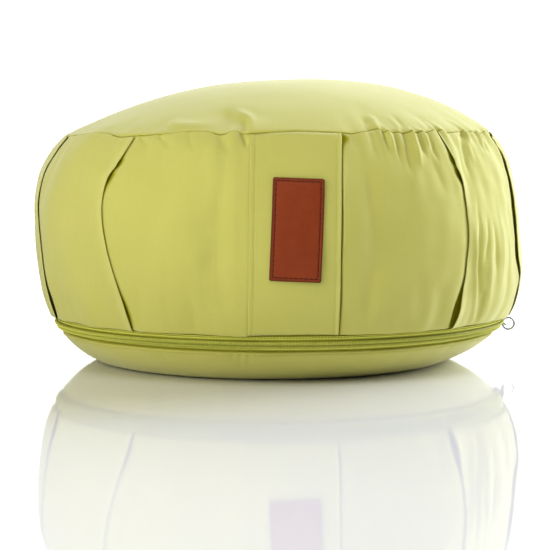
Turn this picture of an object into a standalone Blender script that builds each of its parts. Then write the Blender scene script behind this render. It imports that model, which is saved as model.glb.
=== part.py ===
"""A round meditation cushion (zafu) built from its real pieces. Metres, +Z up.

The cushion rests on z = 0 with its front strip facing -Y. A place on the cloth is
given by three numbers: an angle (0 at -Y, positive towards +X), a distance down the
cloth from the top seam (negative on the crown), and a depth under the cloth's face
(negative stands proud). Every piece is laid out in those numbers, so that each one
follows the same filled form.
"""

import math
from typing import NamedTuple

import bmesh
import bpy
import numpy as np
from mathutils import Matrix, Vector

MM = 0.001

# The filled form: a half section from the crown to the foot
SEAM_RADIUS = 147.0 * MM
SEAM_HEIGHT = 158.4 * MM
CROWN_RISE = 36.0 * MM
CROWN_FULLNESS = 2.5
FOOT_RADIUS = 112.0 * MM
SEAM_DIP = 2.4 * MM
DIP_ROUND_POWER = 1.5
DIP_HEIGHT_POWER = 2
CROWN_TILT = 0.035
CROWN_TILT_POWER = 6
SECTION_SAMPLES = 240
FRAME_STEP = 0.5 * MM
SHARP_ANGLE = math.radians(50.0)

# Sewing
SEAM_CHANNEL_DEPTH = 3.0 * MM
SEAM_EDGE = 2.6 * MM
STRIP_WIDTH = 56.6 * MM
STRIP_THICKNESS = 1.5 * MM
STRIP_PROUD = 0.8 * MM
STRIP_CLEAR = 0.45 * MM
GAP = 0.3 * MM

# Leather label
LABEL_WIDTH = 31.5 * MM
LABEL_HEIGHT = 63.0 * MM
LABEL_THICKNESS = 1.5 * MM
LABEL_CENTRE_DOWN = 64.6 * MM
LABEL_TILT = math.radians(2.5)
LABEL_CORNER = 1.2 * MM
LABEL_CLEAR = 0.5 * MM
LABEL_ROWS = 8

# Zip
ZIP_HEIGHT = 26.6 * MM
ZIP_HALF_ANGLE = math.radians(97.0)
ZIP_END_MARGIN = math.radians(2.0)
ZIP_END_EASE = math.radians(6.0)
ZIP_SEGMENTS = 76
TAPE_REACH = 6.0 * MM
TAPE_PARTING = 0.2 * MM
TAPE_THICKNESS = 0.9 * MM
TAPE_FACE = 1.0 * MM
BED_CLEAR = 0.39 * MM
BED_DEPTH = TAPE_FACE + TAPE_THICKNESS + BED_CLEAR
BED_MARGIN = 0.6 * MM
BED_EDGE = TAPE_REACH + BED_MARGIN
BED_SLOPE = 0.2 * MM
BASE_SEAM_FLOOR = 0.7 * MM
BASE_SEAM_REACH = 3.0 * MM
COIL_WIDTH = 6.0 * MM
COIL_THICKNESS = 1.9 * MM
COIL_ROUND = 0.8 * MM
COIL_DROP = 0.5 * MM
COIL_FACE = TAPE_FACE - GAP - COIL_THICKNESS

# Zip slider and its ring
SLIDER_ANGLE = math.radians(88.0)
SLIDER_LENGTH = 10.0 * MM
SLIDER_PLATE = 1.5 * MM
SLIDER_WALL = 1.0 * MM
SLIDER_LIP = 1.6 * MM
SLIDER_CLEAR = 0.6 * MM
SLIDER_TAPER = 0.88
BRIDGE_WIRE = 0.6 * MM
BRIDGE_CLEAR = 3.0 * MM
BRIDGE_HALF_LENGTH = 3.4 * MM
BRIDGE_CORNER_RISE = 1.0 * MM
BRIDGE_CORNER_RUN = 0.8 * MM
WIRE_MERGE = 0.01 * MM
RING_RADIUS = 4.1 * MM
RING_WIRE = 0.6 * MM
RING_CLEAR = 0.54 * MM
RING_SEGMENTS = 32
RING_WIRE_SEGMENTS = 8
RING_LIFT = math.radians(58.0)
RING_TURN = math.radians(-0.5)


class Level(NamedTuple):
    """A point of the side's half section."""

    radius: float
    height: float


SIDE = (
    Level(SEAM_RADIUS, SEAM_HEIGHT),
    Level(152.3 * MM, 152.0 * MM),
    Level(158.2 * MM, 142.0 * MM),
    Level(163.1 * MM, 130.0 * MM),
    Level(166.6 * MM, 115.0 * MM),
    Level(168.8 * MM, 86.0 * MM),
    Level(166.3 * MM, 55.0 * MM),
    Level(162.8 * MM, 42.0 * MM),
    Level(158.4 * MM, 32.0 * MM),
    Level(152.4 * MM, 23.0 * MM),
    Level(142.4 * MM, 13.0 * MM),
    Level(131.0 * MM, 5.6 * MM),
    Level(121.5 * MM, 1.4 * MM),
    Level(FOOT_RADIUS, 0.0),
)


class Slump(NamedTuple):
    """How far the filling bulges towards +X, and falls short towards -X, at a height."""

    height: float
    bulge: float


SLUMP = (
    Slump(0.0, -4.0 * MM),
    Slump(25.0 * MM, 1.0 * MM),
    Slump(50.0 * MM, 3.0 * MM),
    Slump(85.0 * MM, 0.4 * MM),
    Slump(125.0 * MM, -2.3 * MM),
    Slump(150.0 * MM, -0.6 * MM),
    Slump(200.0 * MM, 0.0),
)


class SectionPoint(NamedTuple):
    """One point of a fold's cross-section, in millimetres.

    across is measured from the fold's edge, positive past the flap. depth is under the
    face. lift is the share of the pleat's gape by which the point stands off. flat is
    where the same point of the cloth lies where the fold is pressed into a seam.
    """

    across: float
    depth: float
    lift: float
    flat: float


PLEAT_SECTION = (
    SectionPoint(across=-17.0, depth=0.0, lift=0.0, flat=-17.0),
    SectionPoint(across=-8.0, depth=-0.9, lift=0.3, flat=-10.0),
    SectionPoint(across=-1.3, depth=-1.0, lift=1.0, flat=-5.5),
    SectionPoint(across=0.0, depth=0.3, lift=1.0, flat=-3.5),
    SectionPoint(across=-1.3, depth=1.5, lift=1.0, flat=-2.0),
    SectionPoint(across=-10.5, depth=2.2, lift=0.0, flat=-0.7),
    SectionPoint(across=-10.5, depth=3.0, lift=0.0, flat=0.7),
    SectionPoint(across=-1.0, depth=2.9, lift=-0.4, flat=2.5),
    SectionPoint(across=5.0, depth=1.8, lift=-0.3, flat=6.0),
    SectionPoint(across=15.0, depth=0.0, lift=0.0, flat=15.0),
)

HALF_STRIP_MM = STRIP_WIDTH / MM / 2
STRIP_BED_MM = (STRIP_THICKNESS + STRIP_CLEAR) / MM

STRIP_BED_SECTION = (
    SectionPoint(across=-HALF_STRIP_MM - 4.0, depth=0.0, lift=0.0, flat=-HALF_STRIP_MM - 4.0),
    SectionPoint(across=-HALF_STRIP_MM - 0.5, depth=0.3, lift=0.0, flat=-HALF_STRIP_MM - 1.5),
    SectionPoint(across=-HALF_STRIP_MM - 0.3, depth=STRIP_BED_MM, lift=0.0, flat=-HALF_STRIP_MM),
    SectionPoint(across=-HALF_STRIP_MM / 2, depth=STRIP_BED_MM, lift=0.0, flat=-HALF_STRIP_MM / 2),
    SectionPoint(across=0.0, depth=STRIP_BED_MM, lift=0.0, flat=0.0),
    SectionPoint(across=HALF_STRIP_MM / 2, depth=STRIP_BED_MM, lift=0.0, flat=HALF_STRIP_MM / 2),
    SectionPoint(across=HALF_STRIP_MM, depth=STRIP_BED_MM, lift=0.0, flat=HALF_STRIP_MM),
    SectionPoint(across=HALF_STRIP_MM + 7.0, depth=0.8, lift=0.0, flat=HALF_STRIP_MM + 7.0),
    SectionPoint(across=HALF_STRIP_MM + 16.0, depth=0.0, lift=0.0, flat=HALF_STRIP_MM + 16.0),
)

BACK_SEAM_SECTION = (
    SectionPoint(across=-5.0, depth=0.0, lift=0.0, flat=-5.0),
    SectionPoint(across=-1.2, depth=0.5, lift=0.0, flat=-1.2),
    SectionPoint(across=0.0, depth=2.4, lift=0.0, flat=0.0),
    SectionPoint(across=1.2, depth=0.5, lift=0.0, flat=1.2),
    SectionPoint(across=5.0, depth=0.0, lift=0.0, flat=5.0),
)

ZIP_END_SECTION = (
    SectionPoint(across=-3.0, depth=0.0, lift=0.0, flat=-3.0),
    SectionPoint(across=3.0, depth=0.0, lift=0.0, flat=3.0),
)


class Feature(NamedTuple):
    """A fold or seam that runs down the side band.

    hand is 1 where the flap points to +angle, and -1 where it points the other way. The
    line's angle, in degrees, is given at the shares LINE_SHARES of the way down the
    band, and the gape of a pleat, in millimetres, at its top and bottom.
    """

    section: tuple
    hand: int
    line: tuple
    gape: tuple


LINE_SHARES = (0.0, 0.35, 0.7, 1.0)
LINE_SAMPLES = 60
NO_GAPE = (0.0, 0.0)

FEATURES = (
    Feature(BACK_SEAM_SECTION, 1, (-180.0, -180.0, -180.0, -180.0), NO_GAPE),
    Feature(PLEAT_SECTION, 1, (-149.0, -150.0, -148.0, -146.0), (0.6, 0.8)),
    Feature(PLEAT_SECTION, 1, (-117.0, -119.0, -116.0, -114.0), (1.0, 0.5)),
    Feature(ZIP_END_SECTION, 1, (-99.0, -99.0, -99.0, -99.0), NO_GAPE),
    Feature(PLEAT_SECTION, 1, (-84.0, -84.0, -76.5, -75.5), (0.5, 1.4)),
    Feature(PLEAT_SECTION, 1, (-43.0, -44.6, -42.7, -39.5), (1.2, 0.6)),
    Feature(STRIP_BED_SECTION, 1, (0.0, 0.0, 0.0, 0.0), NO_GAPE),
    Feature(PLEAT_SECTION, -1, (42.0, 41.3, 41.0, 41.0), (0.5, 3.2)),
    Feature(PLEAT_SECTION, -1, (77.0, 69.6, 73.0, 83.0), (1.2, 1.2)),
    Feature(ZIP_END_SECTION, 1, (99.0, 99.0, 99.0, 99.0), NO_GAPE),
    Feature(PLEAT_SECTION, -1, (117.0, 115.0, 117.0, 118.0), (0.5, 1.0)),
    Feature(PLEAT_SECTION, -1, (149.0, 150.0, 149.0, 147.0), (0.8, 0.5)),
)
CLOTH_STEP = math.radians(6.5)

CROWN_SHARES = (0.14, 0.3, 0.46, 0.61, 0.74, 0.85, 0.93)
BAND_SHARES = (0.07, 0.16, 0.27, 0.39, 0.51, 0.63, 0.74, 0.84, 0.92)
BASE_SHARES = (0.3, 0.55, 0.8)


class Finish(NamedTuple):
    """A material's base colour (linear), roughness and metallic value."""

    colour: tuple
    roughness: float
    metallic: float


COTTON = Finish((0.58, 0.57, 0.14), 0.85, 0.0)
TAPE = Finish((0.25, 0.32, 0.03), 0.75, 0.0)
NYLON = Finish((0.33, 0.38, 0.05), 0.45, 0.0)
LEATHER = Finish((0.25, 0.042, 0.013), 0.5, 0.0)
ZINC = Finish((0.55, 0.55, 0.55), 0.35, 1.0)


def smooth_through(rows, samples):
    """Points of a smooth curve through the rows, evenly spread along their chords."""
    points = np.array(rows, dtype=float)
    chord = np.concatenate([[0.0], np.cumsum(np.linalg.norm(np.diff(points, axis=0), axis=1))])
    slope = np.gradient(points, chord, axis=0)
    place = np.linspace(0.0, chord[-1], samples)
    span = np.clip(np.searchsorted(chord, place, side="right") - 1, 0, len(points) - 2)
    width = (chord[span + 1] - chord[span])[:, None]
    t = (place[:, None] - chord[span][:, None]) / width
    start, end = points[span], points[span + 1]
    leave, arrive = slope[span] * width, slope[span + 1] * width
    return (
        (2 * t**3 - 3 * t**2 + 1) * start
        + (t**3 - 2 * t**2 + t) * leave
        + (3 * t**2 - 2 * t**3) * end
        + (t**3 - t**2) * arrive
    )


class Form:
    """The filled form: turns an angle, a distance and a depth into a point."""

    def __init__(self):
        crown_radius = np.linspace(0.0, SEAM_RADIUS, SECTION_SAMPLES)[:-1]
        crown_height = SEAM_HEIGHT + CROWN_RISE * (1 - (crown_radius / SEAM_RADIUS) ** CROWN_FULLNESS)
        side = smooth_through(SIDE, SECTION_SAMPLES)
        self.radius = np.concatenate([crown_radius, side[:, 0]])
        self.height = np.concatenate([crown_height, side[:, 1]])
        steps = np.hypot(np.diff(self.radius), np.diff(self.height))
        walked = np.concatenate([[0.0], np.cumsum(steps)])
        self.distance = walked - walked[len(crown_radius)]
        self.out_radius = -np.gradient(self.height, self.distance)
        self.out_height = np.gradient(self.radius, self.distance)
        self.slump = smooth_through(SLUMP, SECTION_SAMPLES)
        self.crown_start = self.distance[0]
        self.foot = self.distance[-1]
        self.zip_line = self.distance_at_height(ZIP_HEIGHT)

    def distance_at_height(self, height):
        """Distance down the side at which the cloth reaches a height."""
        side = self.distance >= 0
        return float(np.interp(-height, -self.height[side], self.distance[side]))

    def radius_at(self, distance):
        """Radius of the cloth at a distance."""
        return float(np.interp(distance, self.distance, self.radius))

    def place(self, angle, distance, depth=0.0):
        """The point at an angle, a distance and a depth."""
        out_radius = np.interp(distance, self.distance, self.out_radius)
        out_height = np.interp(distance, self.distance, self.out_height)
        radius = self.radius_at(distance) - depth * out_radius
        height = np.interp(distance, self.distance, self.height) - depth * out_height
        side = math.sin(angle)
        if distance < 0:
            tilt = CROWN_TILT * radius * side * (1 - (radius / SEAM_RADIUS) ** CROWN_TILT_POWER)
        else:
            radius += side * np.interp(height, self.slump[:, 0], self.slump[:, 1])
            tilt = 0.0
        leftward = max(0.0, -radius * side / SEAM_RADIUS)
        upward = min(1.0, height / SEAM_HEIGHT)
        dip = SEAM_DIP * leftward**DIP_ROUND_POWER * upward**DIP_HEIGHT_POWER
        return Vector((radius * side, -radius * math.cos(angle), height + tilt - dip))

    def frame(self, angle, distance, depth):
        """A placing whose X runs along the cloth, Y up it and Z out of it."""
        turn = FRAME_STEP / self.radius_at(distance)
        along = self.place(angle + turn, distance) - self.place(angle - turn, distance)
        down = self.place(angle, distance + FRAME_STEP) - self.place(angle, distance - FRAME_STEP)
        x_axis = along.normalized()
        z_axis = down.cross(along).normalized()
        y_axis = z_axis.cross(x_axis)
        axes = Matrix((x_axis, y_axis, z_axis)).transposed().to_4x4()
        return Matrix.Translation(self.place(angle, distance, depth)) @ axes


FORM = Form()
BAND_LENGTH = FORM.zip_line - BED_EDGE


def make_material(name, finish):
    """A Principled material with the finish's colour, roughness and metallic value."""
    material = bpy.data.materials.new(name)
    material.use_nodes = True
    shader = material.node_tree.nodes["Principled BSDF"]
    shader.inputs["Base Color"].default_value = (*finish.colour, 1.0)
    shader.inputs["Roughness"].default_value = finish.roughness
    shader.inputs["Metallic"].default_value = finish.metallic
    return material


def link_mesh(name, mesh, collection, material):
    """A new object for the mesh, shaded smooth, in the collection."""
    piece = bpy.data.objects.new(name, mesh)
    collection.objects.link(piece)
    mesh.materials.append(material)
    mesh.shade_smooth()
    mesh.set_sharp_from_angle(angle=SHARP_ANGLE)
    return piece


def mirrored(section):
    """The section with its flap pointing the other way."""
    turned = [point._replace(across=-point.across, flat=-point.flat) for point in section]
    return tuple(reversed(turned))


def feature_points(feature, distance, folded):
    """(angle, depth) of each point of a feature at a distance, folded or flat."""
    share = min(max(distance / BAND_LENGTH, 0.0), 1.0)
    line = smooth_through(tuple(zip(LINE_SHARES, feature.line)), LINE_SAMPLES)
    centre = math.radians(float(np.interp(share, line[:, 0], line[:, 1])))
    gape = float(np.interp(share, (0.0, 1.0), feature.gape))
    radius = FORM.radius_at(min(max(distance, 0.0), BAND_LENGTH))
    section = feature.section if feature.hand == 1 else mirrored(feature.section)
    points = []
    for point in section:
        across = point.across if folded else point.flat
        depth = point.depth - point.lift * gape if folded else 0.0
        points.append((centre + across * MM / radius, depth * MM))
    return points


def plain_gaps(distance, folded):
    """Each feature's points at a distance, with the plain cloth's angles from it to the next."""
    groups = [feature_points(feature, distance, folded) for feature in FEATURES]
    gaps = []
    for group, following in zip(groups, groups[1:] + groups[:1]):
        start, end = group[-1][0], following[0][0]
        gaps.append((start, end if end > start else end + 2 * math.pi))
    return groups, gaps


def plain_counts():
    """Points that the plain cloth between two features needs where it is widest."""
    widest = [0.0] * len(FEATURES)
    for share in LINE_SHARES:
        _, gaps = plain_gaps(share * BAND_LENGTH, folded=False)
        widest = [max(wide, end - start) for wide, (start, end) in zip(widest, gaps)]
    return [math.ceil(wide / CLOTH_STEP) - 1 for wide in widest]


PLAIN_COUNTS = plain_counts()


def ring(distance, folded=False):
    """(angle, depth) of every point round the cushion at a distance, from the back seam."""
    points = []
    for group, (start, end), count in zip(*plain_gaps(distance, folded), PLAIN_COUNTS):
        points += group
        for step in range(1, count + 1):
            points.append((start + (end - start) * step / (count + 1), 0.0))
    return points


def zip_share(angle):
    """1 where the zip lies, easing to 0 where the back is sewn with a plain seam."""
    turned = abs((angle + math.pi) % (2 * math.pi) - math.pi)
    share = 1.0 - (turned - ZIP_HALF_ANGLE - ZIP_END_MARGIN) / ZIP_END_EASE
    share = min(max(share, 0.0), 1.0)
    return share * share * (3 - 2 * share)


class BedRow(NamedTuple):
    """A line of the channel that holds the zip, as offsets from the zip's line."""

    at_zip: float
    at_seam: float
    depth: float


ZIP_BED = (
    BedRow(at_zip=-BED_EDGE - BED_SLOPE, at_seam=-BASE_SEAM_REACH, depth=0.0),
    BedRow(at_zip=-BED_EDGE, at_seam=-BASE_SEAM_FLOOR, depth=BED_DEPTH),
    BedRow(at_zip=0.0, at_seam=0.0, depth=BED_DEPTH),
    BedRow(at_zip=BED_EDGE, at_seam=BASE_SEAM_FLOOR, depth=BED_DEPTH),
    BedRow(at_zip=BED_EDGE + BED_SLOPE, at_seam=BASE_SEAM_REACH, depth=0.0),
)


def bed_ring(row):
    """Points of one line of the zip's channel, as full places."""
    places = []
    for angle, _ in ring(FORM.zip_line):
        share = zip_share(angle)
        offset = row.at_seam + (row.at_zip - row.at_seam) * share
        places.append(FORM.place(angle, FORM.zip_line + offset, row.depth))
    return places


def cushion_rings():
    """Every ring of the filled body, from the crown to the foot."""
    rings = []
    for share in CROWN_SHARES:
        distance = FORM.crown_start * (1 - share)
        rings.append([FORM.place(angle, distance) for angle, _ in ring(distance)])
    rings.append([FORM.place(angle, -SEAM_EDGE) for angle, _ in ring(-SEAM_EDGE)])
    rings.append([FORM.place(angle, 0.0, SEAM_CHANNEL_DEPTH) for angle, _ in ring(0.0)])
    band = [SEAM_EDGE] + [share * BAND_LENGTH for share in BAND_SHARES]
    band.append(BAND_LENGTH - 2 * BED_MARGIN)
    for distance in band:
        rings.append([FORM.place(angle, distance, depth) for angle, depth in ring(distance, folded=True)])
    rings += [bed_ring(row) for row in ZIP_BED]
    base_start = FORM.zip_line + BED_EDGE
    for share in BASE_SHARES:
        distance = base_start + share * (FORM.foot - base_start)
        rings.append([FORM.place(angle, distance) for angle, _ in ring(distance)])
    rings.append([FORM.place(angle, FORM.foot) for angle, _ in ring(FORM.foot)])
    return rings


def build_cushion(collection, material):
    """The filled body: a loft from the crown, over the pleated band, to the flat foot."""
    shape = bmesh.new()
    rings = [[shape.verts.new(point) for point in points] for points in cushion_rings()]
    peak = shape.verts.new(FORM.place(0.0, FORM.crown_start))
    count = len(rings[0])
    for index in range(count):
        after = (index + 1) % count
        shape.faces.new((peak, rings[0][index], rings[0][after]))
        for upper, lower in zip(rings, rings[1:]):
            shape.faces.new((upper[index], lower[index], lower[after], upper[after]))
    shape.faces.new(reversed(rings[-1]))
    mesh = bpy.data.meshes.new("cushion")
    shape.to_mesh(mesh)
    shape.free()
    return link_mesh("cushion", mesh, collection, material)


def laid_sheet(name, collection, material, columns, rows, place, thickness):
    """A closed sheet: a grid whose points are placed on the form, thickened inwards."""
    shape = bmesh.new()
    grid = [[shape.verts.new(place(column, row)) for column in columns] for row in rows]
    for upper, lower in zip(grid, grid[1:]):
        for index in range(len(columns) - 1):
            shape.faces.new((upper[index], lower[index], lower[index + 1], upper[index + 1]))
    mesh = bpy.data.meshes.new(name)
    shape.to_mesh(mesh)
    shape.free()
    piece = link_mesh(name, mesh, collection, material)
    solidify = piece.modifiers.new("Thickness", "SOLIDIFY")
    solidify.thickness = thickness
    solidify.offset = -1.0
    solidify.use_even_offset = False
    return piece


def strip_face(across):
    """Depth of the front strip's face: flush at its left seam, proud at its folded edge."""
    share = (across + STRIP_WIDTH / 2) / STRIP_WIDTH
    return -STRIP_PROUD * share**2


def build_front_strip(collection, material):
    """The strip that covers the band's front, from the top seam to the zip."""
    half = STRIP_WIDTH / 2
    columns = (-half, -half / 2, 0.0, half / 2, half)
    rows = [SEAM_EDGE + GAP] + [share * BAND_LENGTH for share in BAND_SHARES]
    rows.append(BAND_LENGTH - 3 * BED_MARGIN)

    def place(across, distance):
        return FORM.place(across / FORM.radius_at(distance), distance, strip_face(across))

    return laid_sheet("front_strip", collection, material, columns, rows, place, STRIP_THICKNESS)


def build_label(collection, material):
    """The leather label, a little tilted, on the front strip."""
    half_width, half_height = LABEL_WIDTH / 2, LABEL_HEIGHT / 2
    inner_width, inner_height = half_width - LABEL_CORNER, half_height - LABEL_CORNER
    columns = (-half_width, -inner_width, -inner_width / 3, inner_width / 3, inner_width, half_width)
    rows = [-half_height, *np.linspace(-inner_height, inner_height, LABEL_ROWS), half_height]
    corner_cut = LABEL_CORNER * (1 - math.sqrt(0.5))

    def place(across, down):
        if abs(across) == half_width and abs(down) == half_height:
            across -= math.copysign(corner_cut, across)
            down -= math.copysign(corner_cut, down)
        turned = across * math.cos(LABEL_TILT) - down * math.sin(LABEL_TILT)
        distance = LABEL_CENTRE_DOWN + down * math.cos(LABEL_TILT) + across * math.sin(LABEL_TILT)
        depth = strip_face(turned) - LABEL_THICKNESS - LABEL_CLEAR
        return FORM.place(turned / FORM.radius_at(distance), distance, depth)

    return laid_sheet("leather_label", collection, material, columns, rows, place, LABEL_THICKNESS)


def build_zip_band(name, collection, material, offsets, depths, thickness):
    """A band along the zip: offsets from the zip's line, with the face's depth at each."""
    columns = np.linspace(-ZIP_HALF_ANGLE, ZIP_HALF_ANGLE, ZIP_SEGMENTS + 1)
    depth_at = dict(zip(offsets, depths))

    def place(angle, offset):
        return FORM.place(angle, FORM.zip_line + offset, depth_at[offset])

    return laid_sheet(name, collection, material, columns, offsets, place, thickness)


def build_zip(collection, tape, nylon):
    """The two tapes side by side in their channel, and the closed coil on top of them."""
    upper = (-TAPE_REACH, -TAPE_PARTING)
    lower = (TAPE_PARTING, TAPE_REACH)
    flat = (TAPE_FACE, TAPE_FACE)
    build_zip_band("zip_tape_upper", collection, tape, upper, flat, TAPE_THICKNESS)
    build_zip_band("zip_tape_lower", collection, tape, lower, flat, TAPE_THICKNESS)
    half = COIL_WIDTH / 2
    crest = half - COIL_ROUND
    shoulder = COIL_FACE + COIL_DROP
    coil_offsets = (-half, -crest, 0.0, crest, half)
    coil_depths = (shoulder, COIL_FACE, COIL_FACE + COIL_DROP / 2, COIL_FACE, shoulder)
    build_zip_band("zip_coil", collection, nylon, coil_offsets, coil_depths, COIL_THICKNESS - COIL_DROP)


def box_mesh(name, size, centre):
    """A box of the given size as a mesh."""
    shape = bmesh.new()
    bmesh.ops.create_cube(shape, size=1.0)
    bmesh.ops.scale(shape, vec=size, verts=shape.verts)
    bmesh.ops.translate(shape, vec=centre, verts=shape.verts)
    mesh = bpy.data.meshes.new(name)
    shape.to_mesh(mesh)
    shape.free()
    return mesh


def arch_mesh(name, points, wire):
    """A round wire through the points, as a closed mesh."""
    curve = bpy.data.curves.new(name, "CURVE")
    curve.dimensions = "3D"
    curve.bevel_depth = wire
    curve.bevel_resolution = 2
    curve.use_fill_caps = True
    spline = curve.splines.new("POLY")
    spline.points.add(len(points) - 1)
    for target, point in zip(spline.points, points):
        target.co = (*point, 1.0)
    guide = bpy.data.objects.new(name, curve)
    bpy.context.scene.collection.objects.link(guide)
    graph = bpy.context.evaluated_depsgraph_get()
    mesh = bpy.data.meshes.new_from_object(guide.evaluated_get(graph))
    bpy.data.objects.remove(guide)
    bpy.data.curves.remove(curve)
    shape = bmesh.new()
    shape.from_mesh(mesh)
    bmesh.ops.remove_doubles(shape, verts=shape.verts, dist=WIRE_MERGE)
    shape.to_mesh(mesh)
    shape.free()
    return mesh


def build_slider(collection, cutters, material):
    """The zip's slider: a plate with lips over the coil, and a bridge for the ring."""
    floor = GAP - COIL_FACE
    inner_width = COIL_WIDTH + 2 * SLIDER_CLEAR
    width = inner_width + 2 * SLIDER_WALL
    height = SLIDER_PLATE + SLIDER_LIP
    middle = floor + SLIDER_PLATE - height / 2
    body = link_mesh(
        "zip_slider",
        box_mesh("zip_slider", (SLIDER_LENGTH, width, height), (0.0, 0.0, middle)),
        collection,
        material,
    )
    for vertex in body.data.vertices:
        if vertex.co.x < 0:
            vertex.co.y *= SLIDER_TAPER
    channel_height = 2 * SLIDER_LIP
    channel = box_mesh(
        "slider_channel",
        (2 * SLIDER_LENGTH, inner_width, channel_height),
        (0.0, 0.0, floor - channel_height / 2),
    )
    top = floor + SLIDER_PLATE
    crest = top + BRIDGE_CLEAR + BRIDGE_WIRE
    foot = top - BRIDGE_WIRE
    reach = BRIDGE_HALF_LENGTH
    arch = [
        (-reach, 0.0, foot),
        (-reach, 0.0, crest - BRIDGE_CORNER_RISE),
        (-reach + BRIDGE_CORNER_RUN, 0.0, crest),
        (reach - BRIDGE_CORNER_RUN, 0.0, crest),
        (reach, 0.0, crest - BRIDGE_CORNER_RISE),
        (reach, 0.0, foot),
    ]
    bridge = arch_mesh("slider_bridge", arch, BRIDGE_WIRE)
    placing = FORM.frame(SLIDER_ANGLE, FORM.zip_line, 0.0)
    body.matrix_world = placing
    for name, mesh, operation in (
        ("slider_channel", channel, "DIFFERENCE"),
        ("slider_bridge", bridge, "UNION"),
    ):
        tool = bpy.data.objects.new(name, mesh)
        cutters.objects.link(tool)
        tool.hide_render = True
        tool.display_type = "WIRE"
        tool.matrix_world = placing
        boolean = body.modifiers.new(name, "BOOLEAN")
        boolean.operation = operation
        boolean.object = tool
    return crest


def build_ring(collection, material, crest):
    """The pull ring, threaded under the slider's bridge and lifted level with the zip."""
    hang = RING_RADIUS - (BRIDGE_WIRE + RING_CLEAR + RING_WIRE)
    lift = Vector((0.0, math.sin(RING_LIFT), math.cos(RING_LIFT)))
    bpy.ops.mesh.primitive_torus_add(
        major_radius=RING_RADIUS,
        minor_radius=RING_WIRE,
        major_segments=RING_SEGMENTS,
        minor_segments=RING_WIRE_SEGMENTS,
    )
    piece = bpy.context.object
    piece.name = "zip_ring"
    piece.data.name = "zip_ring"
    for holder in tuple(piece.users_collection):
        holder.objects.unlink(piece)
    collection.objects.link(piece)
    piece.data.materials.append(material)
    piece.data.shade_smooth()
    placing = FORM.frame(SLIDER_ANGLE, FORM.zip_line, 0.0)
    centre = Vector((0.0, 0.0, crest)) + lift * hang
    upright = Matrix.Rotation(math.radians(90), 4, "Y")
    turn = Matrix.Rotation(RING_TURN, 4, lift)
    piece.matrix_world = placing @ Matrix.Translation(centre) @ turn @ upright


def main():
    """Builds every piece of the cushion in its own collection."""
    for piece in tuple(bpy.data.objects):
        bpy.data.objects.remove(piece)
    parts = bpy.data.collections.new("meditation_cushion")
    cutters = bpy.data.collections.new("cutters")
    for collection in (parts, cutters):
        bpy.context.scene.collection.children.link(collection)
    cotton = make_material("cotton", COTTON)
    tape = make_material("zip_tape", TAPE)
    nylon = make_material("zip_nylon", NYLON)
    leather = make_material("leather", LEATHER)
    zinc = make_material("zinc", ZINC)
    build_cushion(parts, cotton)
    build_front_strip(parts, cotton)
    build_label(parts, leather)
    build_zip(parts, tape, nylon)
    crest = build_slider(parts, cutters, zinc)
    build_ring(parts, zinc, crest)


main()
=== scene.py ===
"""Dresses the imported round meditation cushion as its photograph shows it. Metres, +Z up.

A place on the cloth is an angle (0 at -Y, positive towards +X), a distance down the
cloth from the top seam (negative on the crown) and a depth under the cloth's face
(negative stands proud), as in the part's source.
"""

import logging
import math
from dataclasses import dataclass, field
from enum import Enum
from typing import Any, NamedTuple

import bmesh
import bpy
import numpy as np
from mathutils import Matrix, Vector


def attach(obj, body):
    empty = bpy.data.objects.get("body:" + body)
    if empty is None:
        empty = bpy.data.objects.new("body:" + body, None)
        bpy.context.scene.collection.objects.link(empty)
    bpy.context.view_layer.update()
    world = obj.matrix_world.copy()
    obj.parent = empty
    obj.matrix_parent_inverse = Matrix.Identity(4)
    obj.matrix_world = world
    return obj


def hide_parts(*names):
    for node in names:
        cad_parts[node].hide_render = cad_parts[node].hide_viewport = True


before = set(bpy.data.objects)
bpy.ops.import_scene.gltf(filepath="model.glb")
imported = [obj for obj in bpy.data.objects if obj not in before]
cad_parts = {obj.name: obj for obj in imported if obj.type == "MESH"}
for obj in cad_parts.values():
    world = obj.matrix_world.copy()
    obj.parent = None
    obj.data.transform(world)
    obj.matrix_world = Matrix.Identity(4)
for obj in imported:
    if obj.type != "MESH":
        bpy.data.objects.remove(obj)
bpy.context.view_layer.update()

LOG = logging.getLogger("cushion")
BODY = "root"
MM = 0.001
DEGREE = math.pi / 180
TURN = 2 * math.pi
ASIDE = (0.013, 0.021, 0.57)
Field = np.ndarray
Rows = tuple[tuple[Any, ...], ...]
Colour = tuple[float, float, float]
Material = bpy.types.Material


# ---- reckoning


def ease(value: Any) -> Any:
    """A value from 0 to 1 with soft ends."""
    held = np.clip(value, 0.0, 1.0)
    return held * held * (3 - 2 * held)


def bell(value: Any, centre: float, width: float) -> Any:
    """1 at a centre, falling off smoothly on both sides."""
    return np.exp(-(((value - centre) / width) ** 2))


def wrapped(angle: Any) -> Any:
    """An angle brought to within half a turn of the front."""
    return (angle + math.pi) % TURN - math.pi


def unit(vectors: Field) -> Field:
    """Vectors at a length of one."""
    return vectors / np.linalg.norm(vectors, axis=-1, keepdims=True)


def walked(points: Field) -> Field:
    """How far along its line each point lies."""
    return np.concatenate([[0.0], np.cumsum(np.linalg.norm(np.diff(points, axis=0), axis=1))])


def crowded(count: int, crowding: float = 0.35) -> Field:
    """Places from -1 to 1 that lie closer together at both ends.

    Args:
        count: How many there are.
        crowding: 0 for even places, 1 for those of a half circle.

    Returns:
        The places.
    """
    even = np.linspace(-1, 1, count)
    return crowding * np.sin(np.linspace(-math.pi / 2, math.pi / 2, count)) + (1 - crowding) * even


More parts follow.
